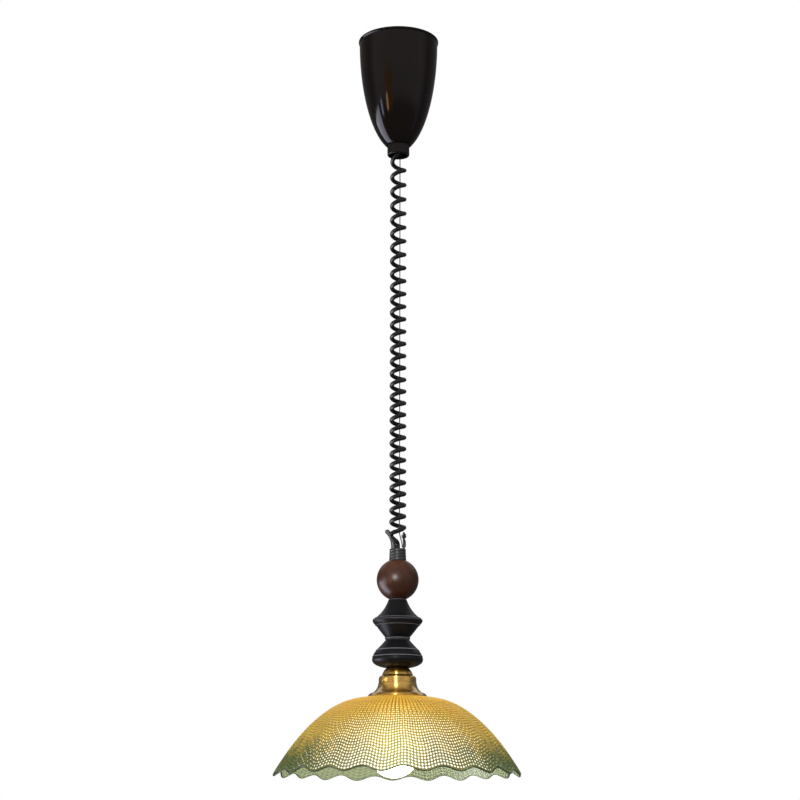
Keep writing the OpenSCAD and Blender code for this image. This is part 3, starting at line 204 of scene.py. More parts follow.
# The shade: soda glass pressed in a woven mould and stained while hot, amber above and olive
# towards the rim. Each cell of the weave works as a small lens, and the furrows are coloured
# darker than the cells. The glass glows with painted light that stands in for the bulb's light
# coming through it. drop, cell and paintedGlow are kept on the mesh: how far down, how high on the
# weave, and where the painted glow of the bulb goes.
def stainedPressedGlass(add):
    place = add("TexCoord", output="Object")
    drop, cell, paintedGlow = [add("Attribute", output="Fac", attribute_name=name)
                        for name in ("drop", "cell", "paintedGlow")]
    mottle = add("TexNoise", [place, perMm(9), 4])
    uneven = add("MapRange", [mottle, 0.3, 0.7, -0.07, 0.07])
    level = add("Math", [drop, uneven], operation="ADD")
    toOlive = add("MapRange", [level, 0.68, 0.96], **eased)
    toGrey = add("MapRange", [drop, 0.96, 1.12])
    orange = add("MapRange", [add("TexNoise", [place, perMm(5), 3]), 0.54, 0.76])
    amber = add("Mix", [orange, "#e9c148", "#d6962f"])
    olive = add("Mix", [toGrey, "#5a6b31", "#a2b18c"])
    stain = add("Mix", [toOlive, amber, olive])
    furrow = add("Mix", [toOlive, "#80600f", "#1f2b14"])
    raised = add("MapRange", [cell, 0.12, 0.7])
    # painted light: where the bulb's light would come straight through, the crown of each cell that
    # faces out from it is painted glowing, and the threads there are painted lighter
    turnedAway = add("LayerWeight", [0.5], output="Facing")
    facing = add("MapRange", [turnedAway, 0.56, 0.1], **eased)
    paintedLightMask = add("Math", [paintedGlow, facing], operation="MULTIPLY")
    narrowest = add("MapRange", [paintedLightMask, 0, 1, 0.74, 0.38])
    widest = add("Math", [narrowest, 0.22], operation="ADD")
    crown = add("MapRange", [cell, narrowest, widest], **eased)
    paintedLightStrength = add("MapRange", [paintedLightMask, 0, 0.45])
    # painted light: the threads are painted lighter where the bulb's light is painted
    thread = add("Mix", [paintedLightStrength, furrow, "#937d33"])
    tint = add("Mix", [raised, thread, stain])
    lens = add("Math", [paintedLightStrength, crown], operation="MULTIPLY")
    # painted glow: the whole shade gives off a dim light of its own colour, near white at the painted cell
    # crowns
    paintedGlassGlow = add("Mix", [0.28, "#000000", tint])
    lit = add("Mix", [lens, paintedGlassGlow, [1.35, 1.28, 1.12, 1]])
    seeds = add("TexNoise", [place, perMm(1.4), 3])
    bump = add("Bump", {"Height": seeds, "Distance": 0.02 * mm})
    return {"Base Color": tint, "Roughness": 0.3, "Normal": bump, "IOR": 1.5,
            "Transmission Weight": 0.3, "Emission Color": lit, "Emission Strength": 1,
            "Specular IOR Level": 0.1}


# The bulb: opal glass, white to the eye and lit evenly from inside.
def litOpalGlass(add):
    haze = add("TexNoise", [add("TexCoord", output="Object"), perMm(14), 2])
    warm = add("Mix", [haze, "#fff6e6", "#fffaf0"])
    return {"Base Color": warm, "Roughness": 0.22, "IOR": 1.5, "Emission Color": warm,
            "Emission Strength": 12}


# Where the photograph doesn't show a piece, its material is what such fittings have
finishes = {
    # zinc-plated pressed steel: a cool grey with blotchy, soft highlights
    "zinc_steel": grained(
        "zincPlatedSteel", ("#9a9fa3", "#b9bdbf"), 0.36, 1.2, cloud=6, depth=0.015, Metallic=1),
    # cold-rolled sheet: fine rolling lines, so its glints run one way
    "reel_steel": grained(
        "coldRolledSheetSteel", ("#8d9194", "#a6aaac"), 0.34, 0.35, stretch=(1, 1, 40), Metallic=1),
    # turned mild steel: rings left by the tool, brighter than the sheet
    "turned_steel": grained("turnedMildSteel", ("#a9acae", "#c2c4c5"), 0.26, 0.4, stretch=(12, 12, 1),
                            Metallic=1),
    # tempered spring strip: dark straw to blue-grey with an oily sheen
    "spring_steel": grained("temperedSpringSteel", ("#4f5459", "#6d6357"), 0.32, 0.6,
                            stretch=(1, 30, 1), cloud=9, depth=0.006, Metallic=1),
    # nickel-plated spring clips: clean, bright and slightly warm
    "clip_steel": grained(
        "nickelPlatedSpringSteel", ("#b5b2ab", "#c9c6bf"), 0.22, 0.8, depth=0.005, Metallic=1),
    # bright-drawn wire, dulled by handling: grey with dirt left between its strands
    "wire_steel": grained("strandedSteelWire", ("#3e4042", "#5a5c5f"), 0.42, 0.5, cloud=4, Metallic=1),
    # nickelled brass of the bulb's screw cap: pale, with heat bloom
    "bulb_metal": grained(
        "nickelledBrassCap", ("#b9b4a8", "#a79f8e"), 0.28, 0.7, cloud=5, depth=0.008, Metallic=1),
    # tinned solder on the contact: dull and lumpy
    "solder": grained("tinnedSolder", ("#b0b0ac", "#8e8e8a"), 0.45, 1.5, cloud=3, depth=0.08, Metallic=1),
    # machined brass: clean yellow with bright cut faces
    "terminal_brass": grained(
        "machinedBrass", ("#c8a04a", "#b88d3a"), 0.27, 0.5, stretch=(1, 12, 12), depth=0.008, Metallic=1),
    # stamped brass of the screw shell: duller, browned by heat
    "shell_brass": grained("stampedBrassShell", ("#b58c40", "#97713a"), 0.36, 1, cloud=7, Metallic=1),
    # moulded polyamide: milky, slightly waxy, with a faint orange peel
    "drum_plastic": grained("mouldedPolyamide", ("#d9d4c4", "#cfc8b4"), 0.42, 1.6, depth=0.03, **{
        "Subsurface Weight": 0.08, "Subsurface Radius": [0.002, 0.0018, 0.0012]}),
    # acetal bush: denser white, polished by the wire
    "guide_plastic": grained("machinedAcetal", ("#e4e1d8", "#d8d4c8"), 0.3, 0.5, stretch=(8, 8, 1),
                             depth=0.012),
    # polycarbonate terminal block: cloudy white with a satin mould face
    "block_plastic": grained("mouldedPolycarbonate", ("#dedfdd", "#cfd1cf"), 0.38, 0.9, depth=0.02, **{
        "Subsurface Weight": 0.05, "Subsurface Radius": [0.001] * 3}),
    # phenolic lampholder: near black, hard and faintly mottled from its filler
    "holder_plastic": grained("mouldedPhenolic", ("#231f1d", "#2e2926"), 0.33, 0.8, cloud=3, depth=0.02),
    # glazed porcelain: cool white with a wet shine
    "porcelain": grained("glazedPorcelain", ("#ebebe6", "#dfe0dc"), 0.14, 5, depth=0.06, spread=0.04, **{
        "Coat Weight": 0.5}),
    # black glass insulator of the bulb cap: pure gloss
    "bulb_black": grained("blackVitriteGlass", ("#0b0b0c", "#141415"), 0.1, 4, depth=0.03, spread=0.04),
    "canopy_plastic": mouldedAbs("polishedAbs", ("#17100c", "#1b130f"), 0.1, 0.12),
    "nozzle_plastic": mouldedAbs("satinAbs", ("#1a1413", "#201a19"), 0.34, 0.05),
    "cord_rubber": makeMaterial("extrudedPvcSheath", extrudedPvc),
    "walnut": makeMaterial("turnedLacqueredWalnut", turnedWalnut),
    "black_wood": makeMaterial("ebonisedHardwood", ebonisedHardwood),
    # the yoke and the ferrule: polyamide in a grey black, with the dull face of a matt mould
    "yoke_plastic": grained("mattPolyamide", ("#19191c", "#28282c"), 0.4, 0.6, cloud=5, depth=0.02),
    "gallery_brass": makeMaterial("spunAntiqueBrass", spunAntiqueBrass),
    "amber_glass": makeMaterial("stainedPressedGlass", stainedPressedGlass),
    "opal_glass": makeMaterial("litOpalGlass", litOpalGlass),
}
print("finishes made:", len(finishes))


def bend(a, b, c, steps):  # a curve of three control points
    t = np.linspace(0, 1, steps + 1)[:, None]
    return list((1 - t) ** 2 * np.array(a) + 2 * t * (1 - t) * np.array(b) + t ** 2 * np.array(c))


def arc(centre, radius, start, stop, steps):  # angles in degrees
    angles = np.radians(np.linspace(start, stop, steps + 1))
    return list(np.array(centre) + radius * np.stack([np.cos(angles), np.sin(angles)], 1))


def onCircle(radius, angle, x=0):
    return [x + radius * cos(angle), radius * sin(angle)]


def levelsOf(node):  # the lowest and the highest point of a CAD node
    return [corner.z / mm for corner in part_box(node)]


def distancesAlong(points):
    return np.concatenate([[0], np.cumsum(np.linalg.norm(np.diff(points, axis=0), axis=1))])


def smooth(t):  # eases from 0 to 1
    t = np.clip(t, 0, 1)
    return t * t * (3 - 2 * t)


def curveThrough(points, steps):  # a smooth curve through a list of points
    p = np.array([points[0]] + list(points) + [points[-1]], float)
    result = []
    for a, b, c, d in zip(p, p[1:], p[2:], p[3:]):
        for t in np.arange(steps) / steps:
            result.append(b + (c - a) * t / 2 + (2 * a - 5 * b + 4 * c - d) * t ** 2 / 2
                          + (3 * b - a - 3 * c + d) * t ** 3 / 2)
    return result + [p[-1]]


# Rounds the corners of an outline that turn by more than some degrees, as a mould or sandpaper does
def softened(outline, radius, steps=3, least=14):
    points = [np.array(p, float) for p in outline]
    result = [points[0]]
    for before, corner, after in zip(points, points[1:], points[2:]):
        back, ahead = before - corner, after - corner
        lengths = np.linalg.norm(back), np.linalg.norm(ahead)
        if min(lengths) < 1e-6:
            continue
        turn = degrees(acos(max(-1, min(1, -back.dot(ahead) / lengths[0] / lengths[1]))))
        if turn < least:
            result.append(corner)
            continue
        reach = [min(radius, length * 0.45) / length for length in lengths]
        result += bend(corner + back * reach[0], corner, corner + ahead * reach[1], steps)
    return result + [points[-1]]


# How sharply an outline bends outwards (up to 1) or inwards (down to -1) within a reach in mm
def edgeAlong(outline, reach=0.7):
    line = np.array(outline, float)
    gone = distancesAlong(line)

    def at(distance):
        return np.stack([np.interp(distance, gone, line[:, 0]), np.interp(distance, gone, line[:, 1])], 1)

    before, after = line - at(gone - reach), at(gone + reach) - line
    turn = np.arctan2(before[:, 1] * after[:, 0] - before[:, 0] * after[:, 1], (before * after).sum(1))
    return np.clip(turn / radians(45), -1, 1)


# Turns an outline of (radius, height) about the lamp's axis, from its top down on the outside
def lathe(outline, sides, closed=False, x=0):
    points, faces, rings = [], [], []
    angles = np.arange(sides) * 2 * pi / sides
    for radius, height in outline:
        pole = radius < 1e-6
        rings.append((len(points), pole))
        points += [(*onCircle(radius, a, x), height) for a in (angles[:1] if pole else angles)]
    pairs = list(zip(rings, rings[1:])) + ([(rings[-1], rings[0])] if closed else [])
    for (upper, upperPole), (lower, lowerPole) in pairs:
        for k in range(sides):
            j = (k + 1) % sides
            if upperPole and lowerPole:
                break
            if upperPole:
                faces.append((upper, lower + k, lower + j))
            elif lowerPole:
                faces.append((upper + k, lower, upper + j))
            else:
                faces.append((upper + k, lower + k, lower + j, upper + j))
    return points, faces


def stacked(rings):  # a closed skin over rings of the same number of points, capped at both ends
    sides = len(rings[0])
    points = [tuple(p) for ring in rings for p in ring]
    faces = [
        (i + k, i + (k + 1) % sides, i + sides + (k + 1) % sides, i + sides + k)
        for i in range(0, len(points) - sides, sides) for k in range(sides)
    ]
    last = len(points) - sides
    faces.append(tuple(range(sides - 1, -1, -1)))
    faces.append(tuple(range(last, last + sides)))
    return points, faces


# Rings of points along a path. radiusAt gives the section's radii from the angles round it and
# the distance gone.
def sweepTube(path, sides, radiusAt):
    path = np.array(path, float)
    heading = np.gradient(path, axis=0)
    heading /= np.linalg.norm(heading, axis=1)[:, None]
    gone = distancesAlong(path)
    angles = np.arange(sides) * 2 * pi / sides
    side = np.array([1, 0.01, 0.02])
    rings = []
    for point, ahead, run in zip(path, heading, gone):
        side = side - side.dot(ahead) * ahead
        side /= np.linalg.norm(side)
        radii = radiusAt(angles, run) * np.ones(sides)
        rings.append(point + (radii * np.cos(angles))[:, None] * side
                     + (radii * np.sin(angles))[:, None] * np.cross(ahead, side))
    return stacked(rings), gone


def addObject(name, data):
    made = bpy.data.objects.new(name, data)
    scene.collection.objects.link(made)
    return made


# One piece of the lamp from one or more (points, faces) shapes in millimetres
def addPiece(name, shapes, slotName, body, replaced, values={}, sharp=32):
    points, faces = [], []
    for shapePoints, shapeFaces in shapes:
        start = len(points)
        points += list(shapePoints)
        faces += [tuple(start + i for i in face) for face in shapeFaces]
    mesh = bpy.data.meshes.new(name)
    mesh.from_pydata((np.array(points) * mm).tolist(), [], faces)
    mesh.shade_smooth()
    mesh.set_sharp_from_angle(angle=radians(sharp))
    for valueName, numbers in values.items():
        mesh.attributes.new(valueName, "FLOAT", "POINT").data.foreach_set(
            "value", np.array(numbers, np.float32))
    mesh.materials.append(finishes[slotName])
    piece = addObject(name, mesh)
    if body:
        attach(piece, body)
    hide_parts(replaced)
    return piece


# A round piece that knows where its edges stand out, for worn edges with a painted highlight, and
# where its hollows sink in, for patina
def addTurned(name, outline, rounding, sides, slotName, replaced, body="lamp"):
    outline = softened(outline, rounding)
    edge = np.repeat(edgeAlong(outline), sides)
    addPiece(name, [lathe(outline, sides, closed=True)], slotName, body, replaced, {"edge": edge})


# The camera stands in front, a little lower than the lamp, and looks up at it
camera = {"place": (0.0026, -2.403, -1.051), "upward": 13.2, "roll": 0.08, "focalPixels": 1945}

optics = bpy.data.cameras.new("camera")
optics.sensor_width = 36
optics.lens = camera["focalPixels"] * optics.sensor_width / 800  # the frame is 800 pixels wide
scene.camera = addObject("camera", optics)
scene.camera.matrix_world = (
    Matrix.Translation(camera["place"]) @ Matrix.Rotation(radians(90 + camera["upward"]), 4, "X")
    @ Matrix.Rotation(radians(camera["roll"]), 4, "Z"))

# Levels that the pieces share, from the frame
nozzleTip = levelsOf("nozzle")[0]
nozzleFloor = levelsOf("curly_cord")[1] + 0.1
ferruleTop = levelsOf("curly_cord")[0] - 0.1

curl = {
    "diameter": 5.6, "radius": 8, "turns": 29,
    "firstDrop": 19.7,  # highest right-hand curl, below the nozzle's lip
    "lastRise": 26.9,  # lowest right-hand curl, above the ferrule
    "stretch": 1.43,  # the top curls hang this much wider apart than the bottom ones
    "topTurn": 270, "entryRadius": 6.8,
    # below the lowest curl: angle, distance from the axis in radii of the coil, and share of
    # the height left above the ferrule
    "lastBend": [(-22, 1, 0.962), (-45, 1, 0.9), (-90, 1, 0.795), (-123, 1.11, 0.74), (-146, 1.21, 0.665),
                 (-155, 1.05, 0.543), (-147, 0.69, 0.431), (-129, 0.24, 0.327), (0, 0, 0.208)],
    "ringsPerTurn": 24, "sides": 16,
}


def curlPath():
    first, last = nozzleTip - curl["firstDrop"], ferruleTop + curl["lastRise"]
    radius, stretch, turns = curl["radius"], curl["stretch"], curl["turns"]
    mean = 1 + (stretch - 1) / 3
    pitch = (first - last) / turns / mean
    straight = curl["diameter"] + 0.6
    entry = radians(curl["topTurn"])
    path = [[*onCircle(curl["entryRadius"], entry), nozzleFloor - 0.1 - k]
            for k in np.linspace(0, straight - 1.2, 4)]
    slope = pitch * stretch / 360 * 2 * curl["topTurn"]
    rise = nozzleFloor - straight - first
    for s in np.linspace(1, 0, 22)[:-1]:
        turn = 2 * entry * (s - s * s / 2)
        reach = radius - (radius - curl["entryRadius"]) * s * s
        path.append([*onCircle(reach, turn), first + slope * s + (rise - slope) * s * s])
    count = turns * curl["ringsPerTurn"]
    for i in range(count + 1):
        t, turn = i / count, -2 * pi * i / curl["ringsPerTurn"]
        down = (first - last) * (t + (stretch - 1) * (1 - (1 - t) ** 3) / 3) / mean
        path.append([*onCircle(radius, turn), first - down])
    bendPoints = path[-3:]
    for angle, share, rise in curl["lastBend"]:
        height = ferruleTop + curl["lastRise"] * rise
        bendPoints.append([*onCircle(radius * share, radians(angle)), height])
    bendPoints.append([0, 0, ferruleTop + 0.1])
    path += [list(p) for p in curveThrough(bendPoints, 6)[2 * 6 + 1:]]  # the first two spans are there
    return np.array(path)


# The cord and the wire: their placement is baked into their meshes, so they stay where they are drawn.
def stretchBetween(piece):
    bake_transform(piece)


# A run of the cord. Its mesh keeps the distance along and around it.
def addSheath(name, path, body, replaced):
    sides, diameter = curl["sides"], curl["diameter"]
    shape, gone = sweepTube(path, sides, lambda angles, run: diameter / 2)
    girth = np.arange(sides) / sides * pi * diameter * mm
    piece = addPiece(name, [shape], "cord_rubber", body, replaced, {
        "along": np.repeat(gone * mm, sides), "around": np.tile(girth, len(gone))})
    return piece, gone[-1]


def addCurlyCord():
    path = curlPath()
    piece, length = addSheath("curly_cord_sheath", path, None, "curly_cord")
    stretchBetween(piece)
    print("curly cord:", round(length), "mm long")


wire = {
    "diameter": 1.2, "strands": 6,
    "lay": 9,  # distance in which a strand goes once round
    "sides": 18, "step": 0.5,
    "postX": 7.6, "tieRadius": 2.1, "tieTurns": 3, "tiePitch": 1.7, "tieSwell": 0.5,
    "tieDip": 1.6, "tieSteps": 30,  # how far it dips below the post's foot, and rings for each turn
    "footRise": 3.6, "wrapRise": 13.5, "tieRise": 22,  # above the ferrule
}


# A run of the wire: six strands laid round a core
def addStrands(name, path, sides, body, replaced):
    def radiusAt(angles, run):
        turned = wire["strands"] * (angles - 2 * pi * run / wire["lay"])
        return wire["diameter"] / 2 * (1 + 0.1 * np.cos(turned))

    shape, gone = sweepTube(path, sides, radiusAt)
    return addPiece(name, [shape], "wire_steel", body, replaced), gone[-1]


def tiePath(x):
    post, r = wire["postX"], wire["tieRadius"]
    top, foot, wrap = [ferruleTop + wire[key] for key in ("tieRise", "footRise", "wrapRise")]
    path = [[x + (post - r - x) * smooth(s), 0, top + (foot - top) * s] for s in np.linspace(0, 1, 36)]
    for s in np.linspace(0, 1, 17)[1:]:
        a = pi * (1 - s)
        path.append([*onCircle(r, a, post), foot - wire["tieDip"] * sin(pi * s)])
    for s in np.linspace(0, 1, 21)[1:]:
        a = -pi / 2 * s * s
        path.append([*onCircle(r, a, post), foot + (wrap - foot) * s])
    turns, steps = wire["tieTurns"], wire["tieSteps"]
    for i in range(1, turns * steps + 1):
        out = r + wire["tieSwell"] * sin(pi * i / turns / steps)
        across, deep = onCircle(out, -pi / 2 - 2 * pi * i / steps, post)
        path.append([across, deep, wrap + wire["tiePitch"] * i / steps])
    return np.array(path)


def addWires():
    low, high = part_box("suspension_wire")
    x, top, foot = (low.x + high.x) / 2 / mm, high.z / mm, low.z / mm
    count = round((top - foot) / wire["step"])
    path = np.array([[x, 0, z] for z in np.linspace(top, foot, count)])
    hanging, length = addStrands("hanging_wire", path, wire["sides"], None, "suspension_wire")
    stretchBetween(hanging)
    knot, _ = addStrands("tied_wire_end", tiePath(x), wire["sides"], "lamp", "wire_tie")
    print("suspension wire:", round(length), "mm long")


addCurlyCord()
addWires()

canopy = {
    "radius": 51.5, "endRadius": 16.4, "wall": 2, "mouthRadius": 15.2,
    "lipRadius": 52.7, "lipHeight": 3, "ribDepth": 13, "ribWidth": 2.2, "ribHeight": 2,
}


def addCanopy():
    height = -levelsOf("canopy_cup")[0]
    full = height / sqrt(1 - (canopy["endRadius"] / canopy["radius"]) ** 2)
    innerFull, innerRadius = full - canopy["wall"], canopy["radius"] - canopy["wall"]
    lip, lipHeight, mouth = canopy["lipRadius"], canopy["lipHeight"], canopy["mouthRadius"]
    rib, ribHeight = canopy["ribDepth"], canopy["ribHeight"]

    def innerAt(depth):
        return innerRadius * sqrt(1 - (depth / innerFull) ** 2)

    ribRadius = innerAt(rib) - canopy["ribWidth"]
    outer = [
        (canopy["radius"] * cos(a), -full * sin(a))
        for a in np.linspace(asin((lipHeight + 0.6) / full), asin(height / full), 90)
    ]
    mouthDepth = innerFull * sqrt(1 - (mouth / innerRadius) ** 2)
    inner = [(innerAt(depth), -depth) for depth in np.linspace(mouthDepth, rib + ribHeight, 70)]
    outline = [
        (innerAt(0), 0), (lip - 0.6, 0), (lip, -0.6), (lip, 0.8 - lipHeight), (lip - 0.5, -lipHeight),
        *outer, (mouth, -height), *inner,
        (ribRadius, -rib - ribHeight), (ribRadius, -rib), (innerAt(rib), -rib),
        (innerAt(rib / 2), -rib / 2),
    ]
    addTurned("canopy_shell", outline, 0.5, 192, "canopy_plastic", "canopy_cup", "ceiling_fixture")


addCanopy()
print("canopy made")

yoke = {
    "footRadius": 9.2, "footHeight": 3, "postRadius": 1.4, "postHeight": 20,
    "hornX": 2.3, "hornY": 1.8, "hornWidth": 6.2, "hornThickness": 3.4, "hornHeight": 21.8,
    "hornReach": 12.9, "tipRadius": 3, "tipAngle": 35, "hornSides": 28, "squareness": 2.8,
}
ferrule = {"radius": 10.7, "height": 14.9, "groovePitch": 3.7, "grooveDepth": 0.45}


def hornShape():
    tip = np.array([-yoke["hornReach"], ferruleTop + yoke["hornHeight"]])
    angle = radians(yoke["tipAngle"])
    across = yoke["tipRadius"] * np.array([cos(angle), sin(angle)])
    knee = ferruleTop + yoke["hornHeight"] * 0.6
    x, width, half = yoke["hornX"], yoke["hornWidth"], yoke["hornThickness"] / 2
    right = bend((-x, ferruleTop - 1), (-x - 0.2, knee), tip + across, 30)
    left = bend((-x - width, ferruleTop - 1), (-x - width + 1.1, knee), tip - across, 30)
    ahead = np.array([-sin(angle), cos(angle)])
    for a in np.radians(np.linspace(12, 84, 7)):  # the round tip
        right.append(tip + across * cos(a) + ahead * yoke["tipRadius"] * sin(a))
        left.append(tip - across * cos(a) + ahead * yoke["tipRadius"] * sin(a))
    rings, sides, square = [], yoke["hornSides"], yoke["squareness"]
    for l, r in zip(left, right):
        centre, reach = (l + r) / 2, (r - l) / 2
        depth = half * min(1, 0.35 + np.linalg.norm(reach) / yoke["tipRadius"] * 0.65)
        ring = []
        for a in np.arange(sides) * 2 * pi / sides:
            c, s = cos(a), sin(a)
            bulge = (abs(c) ** square + abs(s) ** square) ** (-1 / square)  # a rounded rectangle
            spot = centre + reach * c * bulge
            ring.append((spot[0], yoke["hornY"] - depth * s * bulge, spot[1]))
        rings.append(ring)
    return stacked(rings[::-1])


def addYoke():
    foot, height = yoke["footRadius"], yoke["footHeight"]
    disc = softened([
        (0, ferruleTop), (foot, ferruleTop), (foot, ferruleTop - height), (3.3, ferruleTop - height),
        (3.3, ferruleTop - height + 1), (0, ferruleTop - height + 1)], 0.4)
    post, reach = yoke["postRadius"], yoke["postHeight"] + ferruleTop
    pin = [(0, reach + post), *arc((0, reach), post, 84, 0, 8), (post, ferruleTop - 1), (0, ferruleTop - 1)]
    shapes = [lathe(disc, 64), lathe(pin, 24, x=wire["postX"]), hornShape()]
    addPiece("yoke_with_horn", shapes, "yoke_plastic", "lamp", "cord_yoke")


def addFerrule():
    radius, pitch, depth = ferrule["radius"], ferrule["groovePitch"], ferrule["grooveDepth"]
    bottom = ferruleTop - ferrule["height"]
    bore = yoke["footRadius"] + 0.1
    grooves = []
    for i in (3, 2, 1):
        z, r = bottom + pitch * i, radius - 0.15 * i
        grooves += [(r, z + 0.9)] + arc((r + 0.45, z), 0.85, 140, 220, 6) + [(r, z - 0.9)]
    outline = [
        (bore, ferruleTop - yoke["footHeight"]), (bore, ferruleTop - 0.4), (bore + 0.2, ferruleTop - 0.2),
        (radius - 1, ferruleTop - 0.2), (radius - 0.6, ferruleTop - 0.8), *grooves,
        (radius, bottom + 0.5), (radius - depth, bottom), (5.1, bottom), (5.1, bottom + 3)]
    addTurned("ferrule_sleeve", outline, 0.25, 96, "yoke_plastic", "ferrule")


addYoke()
addFerrule()

stem = {
    "ballRadius": 26.1, "ballFlat": 9.3, "neckRadius": 11.1, "boreRadius": 5.2,
    "upperRadius": 31.4, "upperRim": 26.4, "waistRadius": 15,
    "lowerRadius": 31.5, "lowerRim": 24.6, "footRadius": 15.5,
    "beadRadius": 0.65,  # of the fine raised lines that the turner left at each crease
}
bore = stem["boreRadius"]


def addBall():
    low, high = levelsOf("walnut_ball")
    radius = stem["ballRadius"]
    centre = low + sqrt(radius ** 2 - stem["ballFlat"] ** 2)
    start = degrees(asin((high - centre) / radius))
    stop = degrees(asin((low - centre) / radius))
    outline = [(bore, high)] + arc((0, centre), radius, start, stop, 72) + [(bore, low)]
    addTurned("turned_ball", outline, 0.4, 144, "walnut", "walnut_ball")


def addUpperSpindle():
    foot, neck = levelsOf("upper_spindle")
    rim, reach = neck - stem["upperRim"], stem["upperRadius"]
    waist = stem["waistRadius"]
    hollow = bend((stem["neckRadius"], neck), (stem["neckRadius"] + 5.5, neck - 15.5),
                  (reach - 3.2, rim + 2.9), 26)
    edge = bend((reach - 2.4, rim + 2.4), (reach + 2.2, rim + 0.4), (reach - 3.6, rim - 5), 16)
    cone = bend((reach - 4.8, rim - 6), (waist + 5.2, foot + 8.8), (waist + 0.6, foot + 3.4), 14)
    bead = arc((waist - 0.6, foot + 1.7), 1.4, 60, -60, 10)
    fine = stem["beadRadius"]
    upperLine = arc((reach - 2.9, rim + 2.6), fine, 140, -20, 8)
    lowerLine = arc((reach - 4.3, rim - 5.4), fine, 30, -120, 8)
    outline = [(bore, neck), *hollow, *upperLine, *edge, *lowerLine, *cone, *bead,
               (waist - 0.2, foot), (bore, foot)]
    addTurned("upper_turning", outline, 0.35, 144, "black_wood", "upper_spindle")


def addLowerSpindle():
    foot, top = levelsOf("lower_spindle")
    rim, reach = top - stem["lowerRim"], stem["lowerRadius"]
    waist, step = stem["waistRadius"], stem["lowerRadius"] - 5.5
    hollow = bend((waist, top - 0.5), (waist + 2.2, top - 3.4), (step, rim + 12), 16)
    crown = bend((step + 0.6, rim + 11.2), (reach - 0.9, rim + 6.4), (reach - 0.2, rim + 1.2), 20)
    middle = crown[15]
    rimLine = arc((middle[0] - 0.2, middle[1]), stem["beadRadius"], 100, -60, 8)
    bowl = bend((reach, rim + 0.5), (reach + 0.1, rim - 6.8), (stem["footRadius"], foot), 24)
    crownLine = arc((step + 0.2, rim + 11.5), stem["beadRadius"], 150, 0, 8)
    outline = [(bore, top), (waist - 0.4, top), *hollow, *crownLine, *crown[:15], *rimLine, *crown[17:],
               *bowl, (bore, foot)]
    addTurned("lower_turning", outline, 0.35, 144, "black_wood", "lower_spindle")


addBall()
addUpperSpindle()
addLowerSpindle()
print("stem made")

gallery = {
    "capTop": 12.6, "capRadius": 19.1, "sheet": 1, "bellRadius": 23.1, "roundHeight": 4.4,
    "straightDepth": 9, "rimRadius": 36.7, "bandHeight": 4.8, "bandWidth": 5.5,
}


def addGallery():
    sheet = gallery["sheet"]
    low, high = levelsOf("gallery_cap")
    cap, top = gallery["capRadius"], gallery["capTop"]
    outer = bend((top, high), (cap - 2.1, high - 2.2), (cap, low), 24)
    inner = bend((cap - sheet, low), (cap - sheet - 1.9, high - sheet - 1.8), (top - 0.6, high - sheet), 24)
    outline = [(bore, high), *outer, *inner, (bore, high - sheet)]
    addTurned("gallery_dome", outline, 0.3, 144, "gallery_brass", "gallery_cap")

    low, high = levelsOf("gallery_bell")
    bell, rim = gallery["bellRadius"], gallery["rimRadius"]
    shoulder, straight = high - gallery["roundHeight"], high - gallery["straightDepth"]
    band, bandTop = rim - gallery["bandWidth"], low + gallery["bandHeight"]
    outer = [
        *bend((cap - 0.4, high), (bell - 0.2, high - 0.6), (bell, shoulder), 18), (bell + 0.1, straight),
        *bend((bell + 0.4, straight - 0.6), (bell + 1.3, bandTop + 4.4), (band, bandTop), 26),
        *bend((band + 0.2, bandTop + 0.1), (rim - 2, bandTop + 0.2), (rim, low + 0.6), 20),
        (rim - 0.5, low),
    ]
    inside = bell - sheet
    inner = [
        (rim - 1, low),
        *bend((rim - 1.1, low + 0.5), (rim - 2.7, bandTop - 1.1), (band - 0.4, bandTop - 1), 14),
        *bend((band - 0.8, bandTop - 0.8), (bell + 0.4, bandTop + 3.6), (inside + 0.4, straight - 0.7), 20),
        (inside + 0.1, straight), *bend((inside, shoulder), (inside - 0.3, high - sheet - 0.6),
                                        (cap - 1, high - sheet), 18),
    ]
    outline = [(bore, high), *outer, *inner, (bore, high - sheet)]
    addTurned("gallery_skirt", outline, 0.3, 160, "gallery_brass", "gallery_bell")


addGallery()
print("gallery made")

shade = {
    "rimRadius": 150.5, "drop": 91, "power": 2.06, "glass": 3, "hole": 20.6, "seat": 27, "seatDrop": 2.6,
    "ruffles": 21, "ruffleHeight": 4.6, "ruffleStart": 0.42,
    "swell": 0.55,  # a wave also stands out by this share of its height
    "threads": 236, "rows": 38,  # of the weave, round the shade and down it
    "relief": 0.7,
    "innerOlive": 0.3,  # the olive reaches this share further up on the inside
    "innerRelief": 0.15, "lowerPillow": 0.86, "sidesPerThread": 4, "ringsPerRow": 4,
    "run": 160, "rimStart": 1.4, "rimBulge": 1.3,  # along the glass, and of its round rim
}


# Uneven waves round the rim, from -1 to 1. Their phases put them where the photograph has them.
def ruffle(a):
    n = shade["ruffles"]
    main = np.cos(n * a + radians(216) + radians(22) * np.sin(4 * a + radians(167)))
    return 0.85 * main + 0.15 * np.cos(round(n * 2 / 3) * a + radians(305))


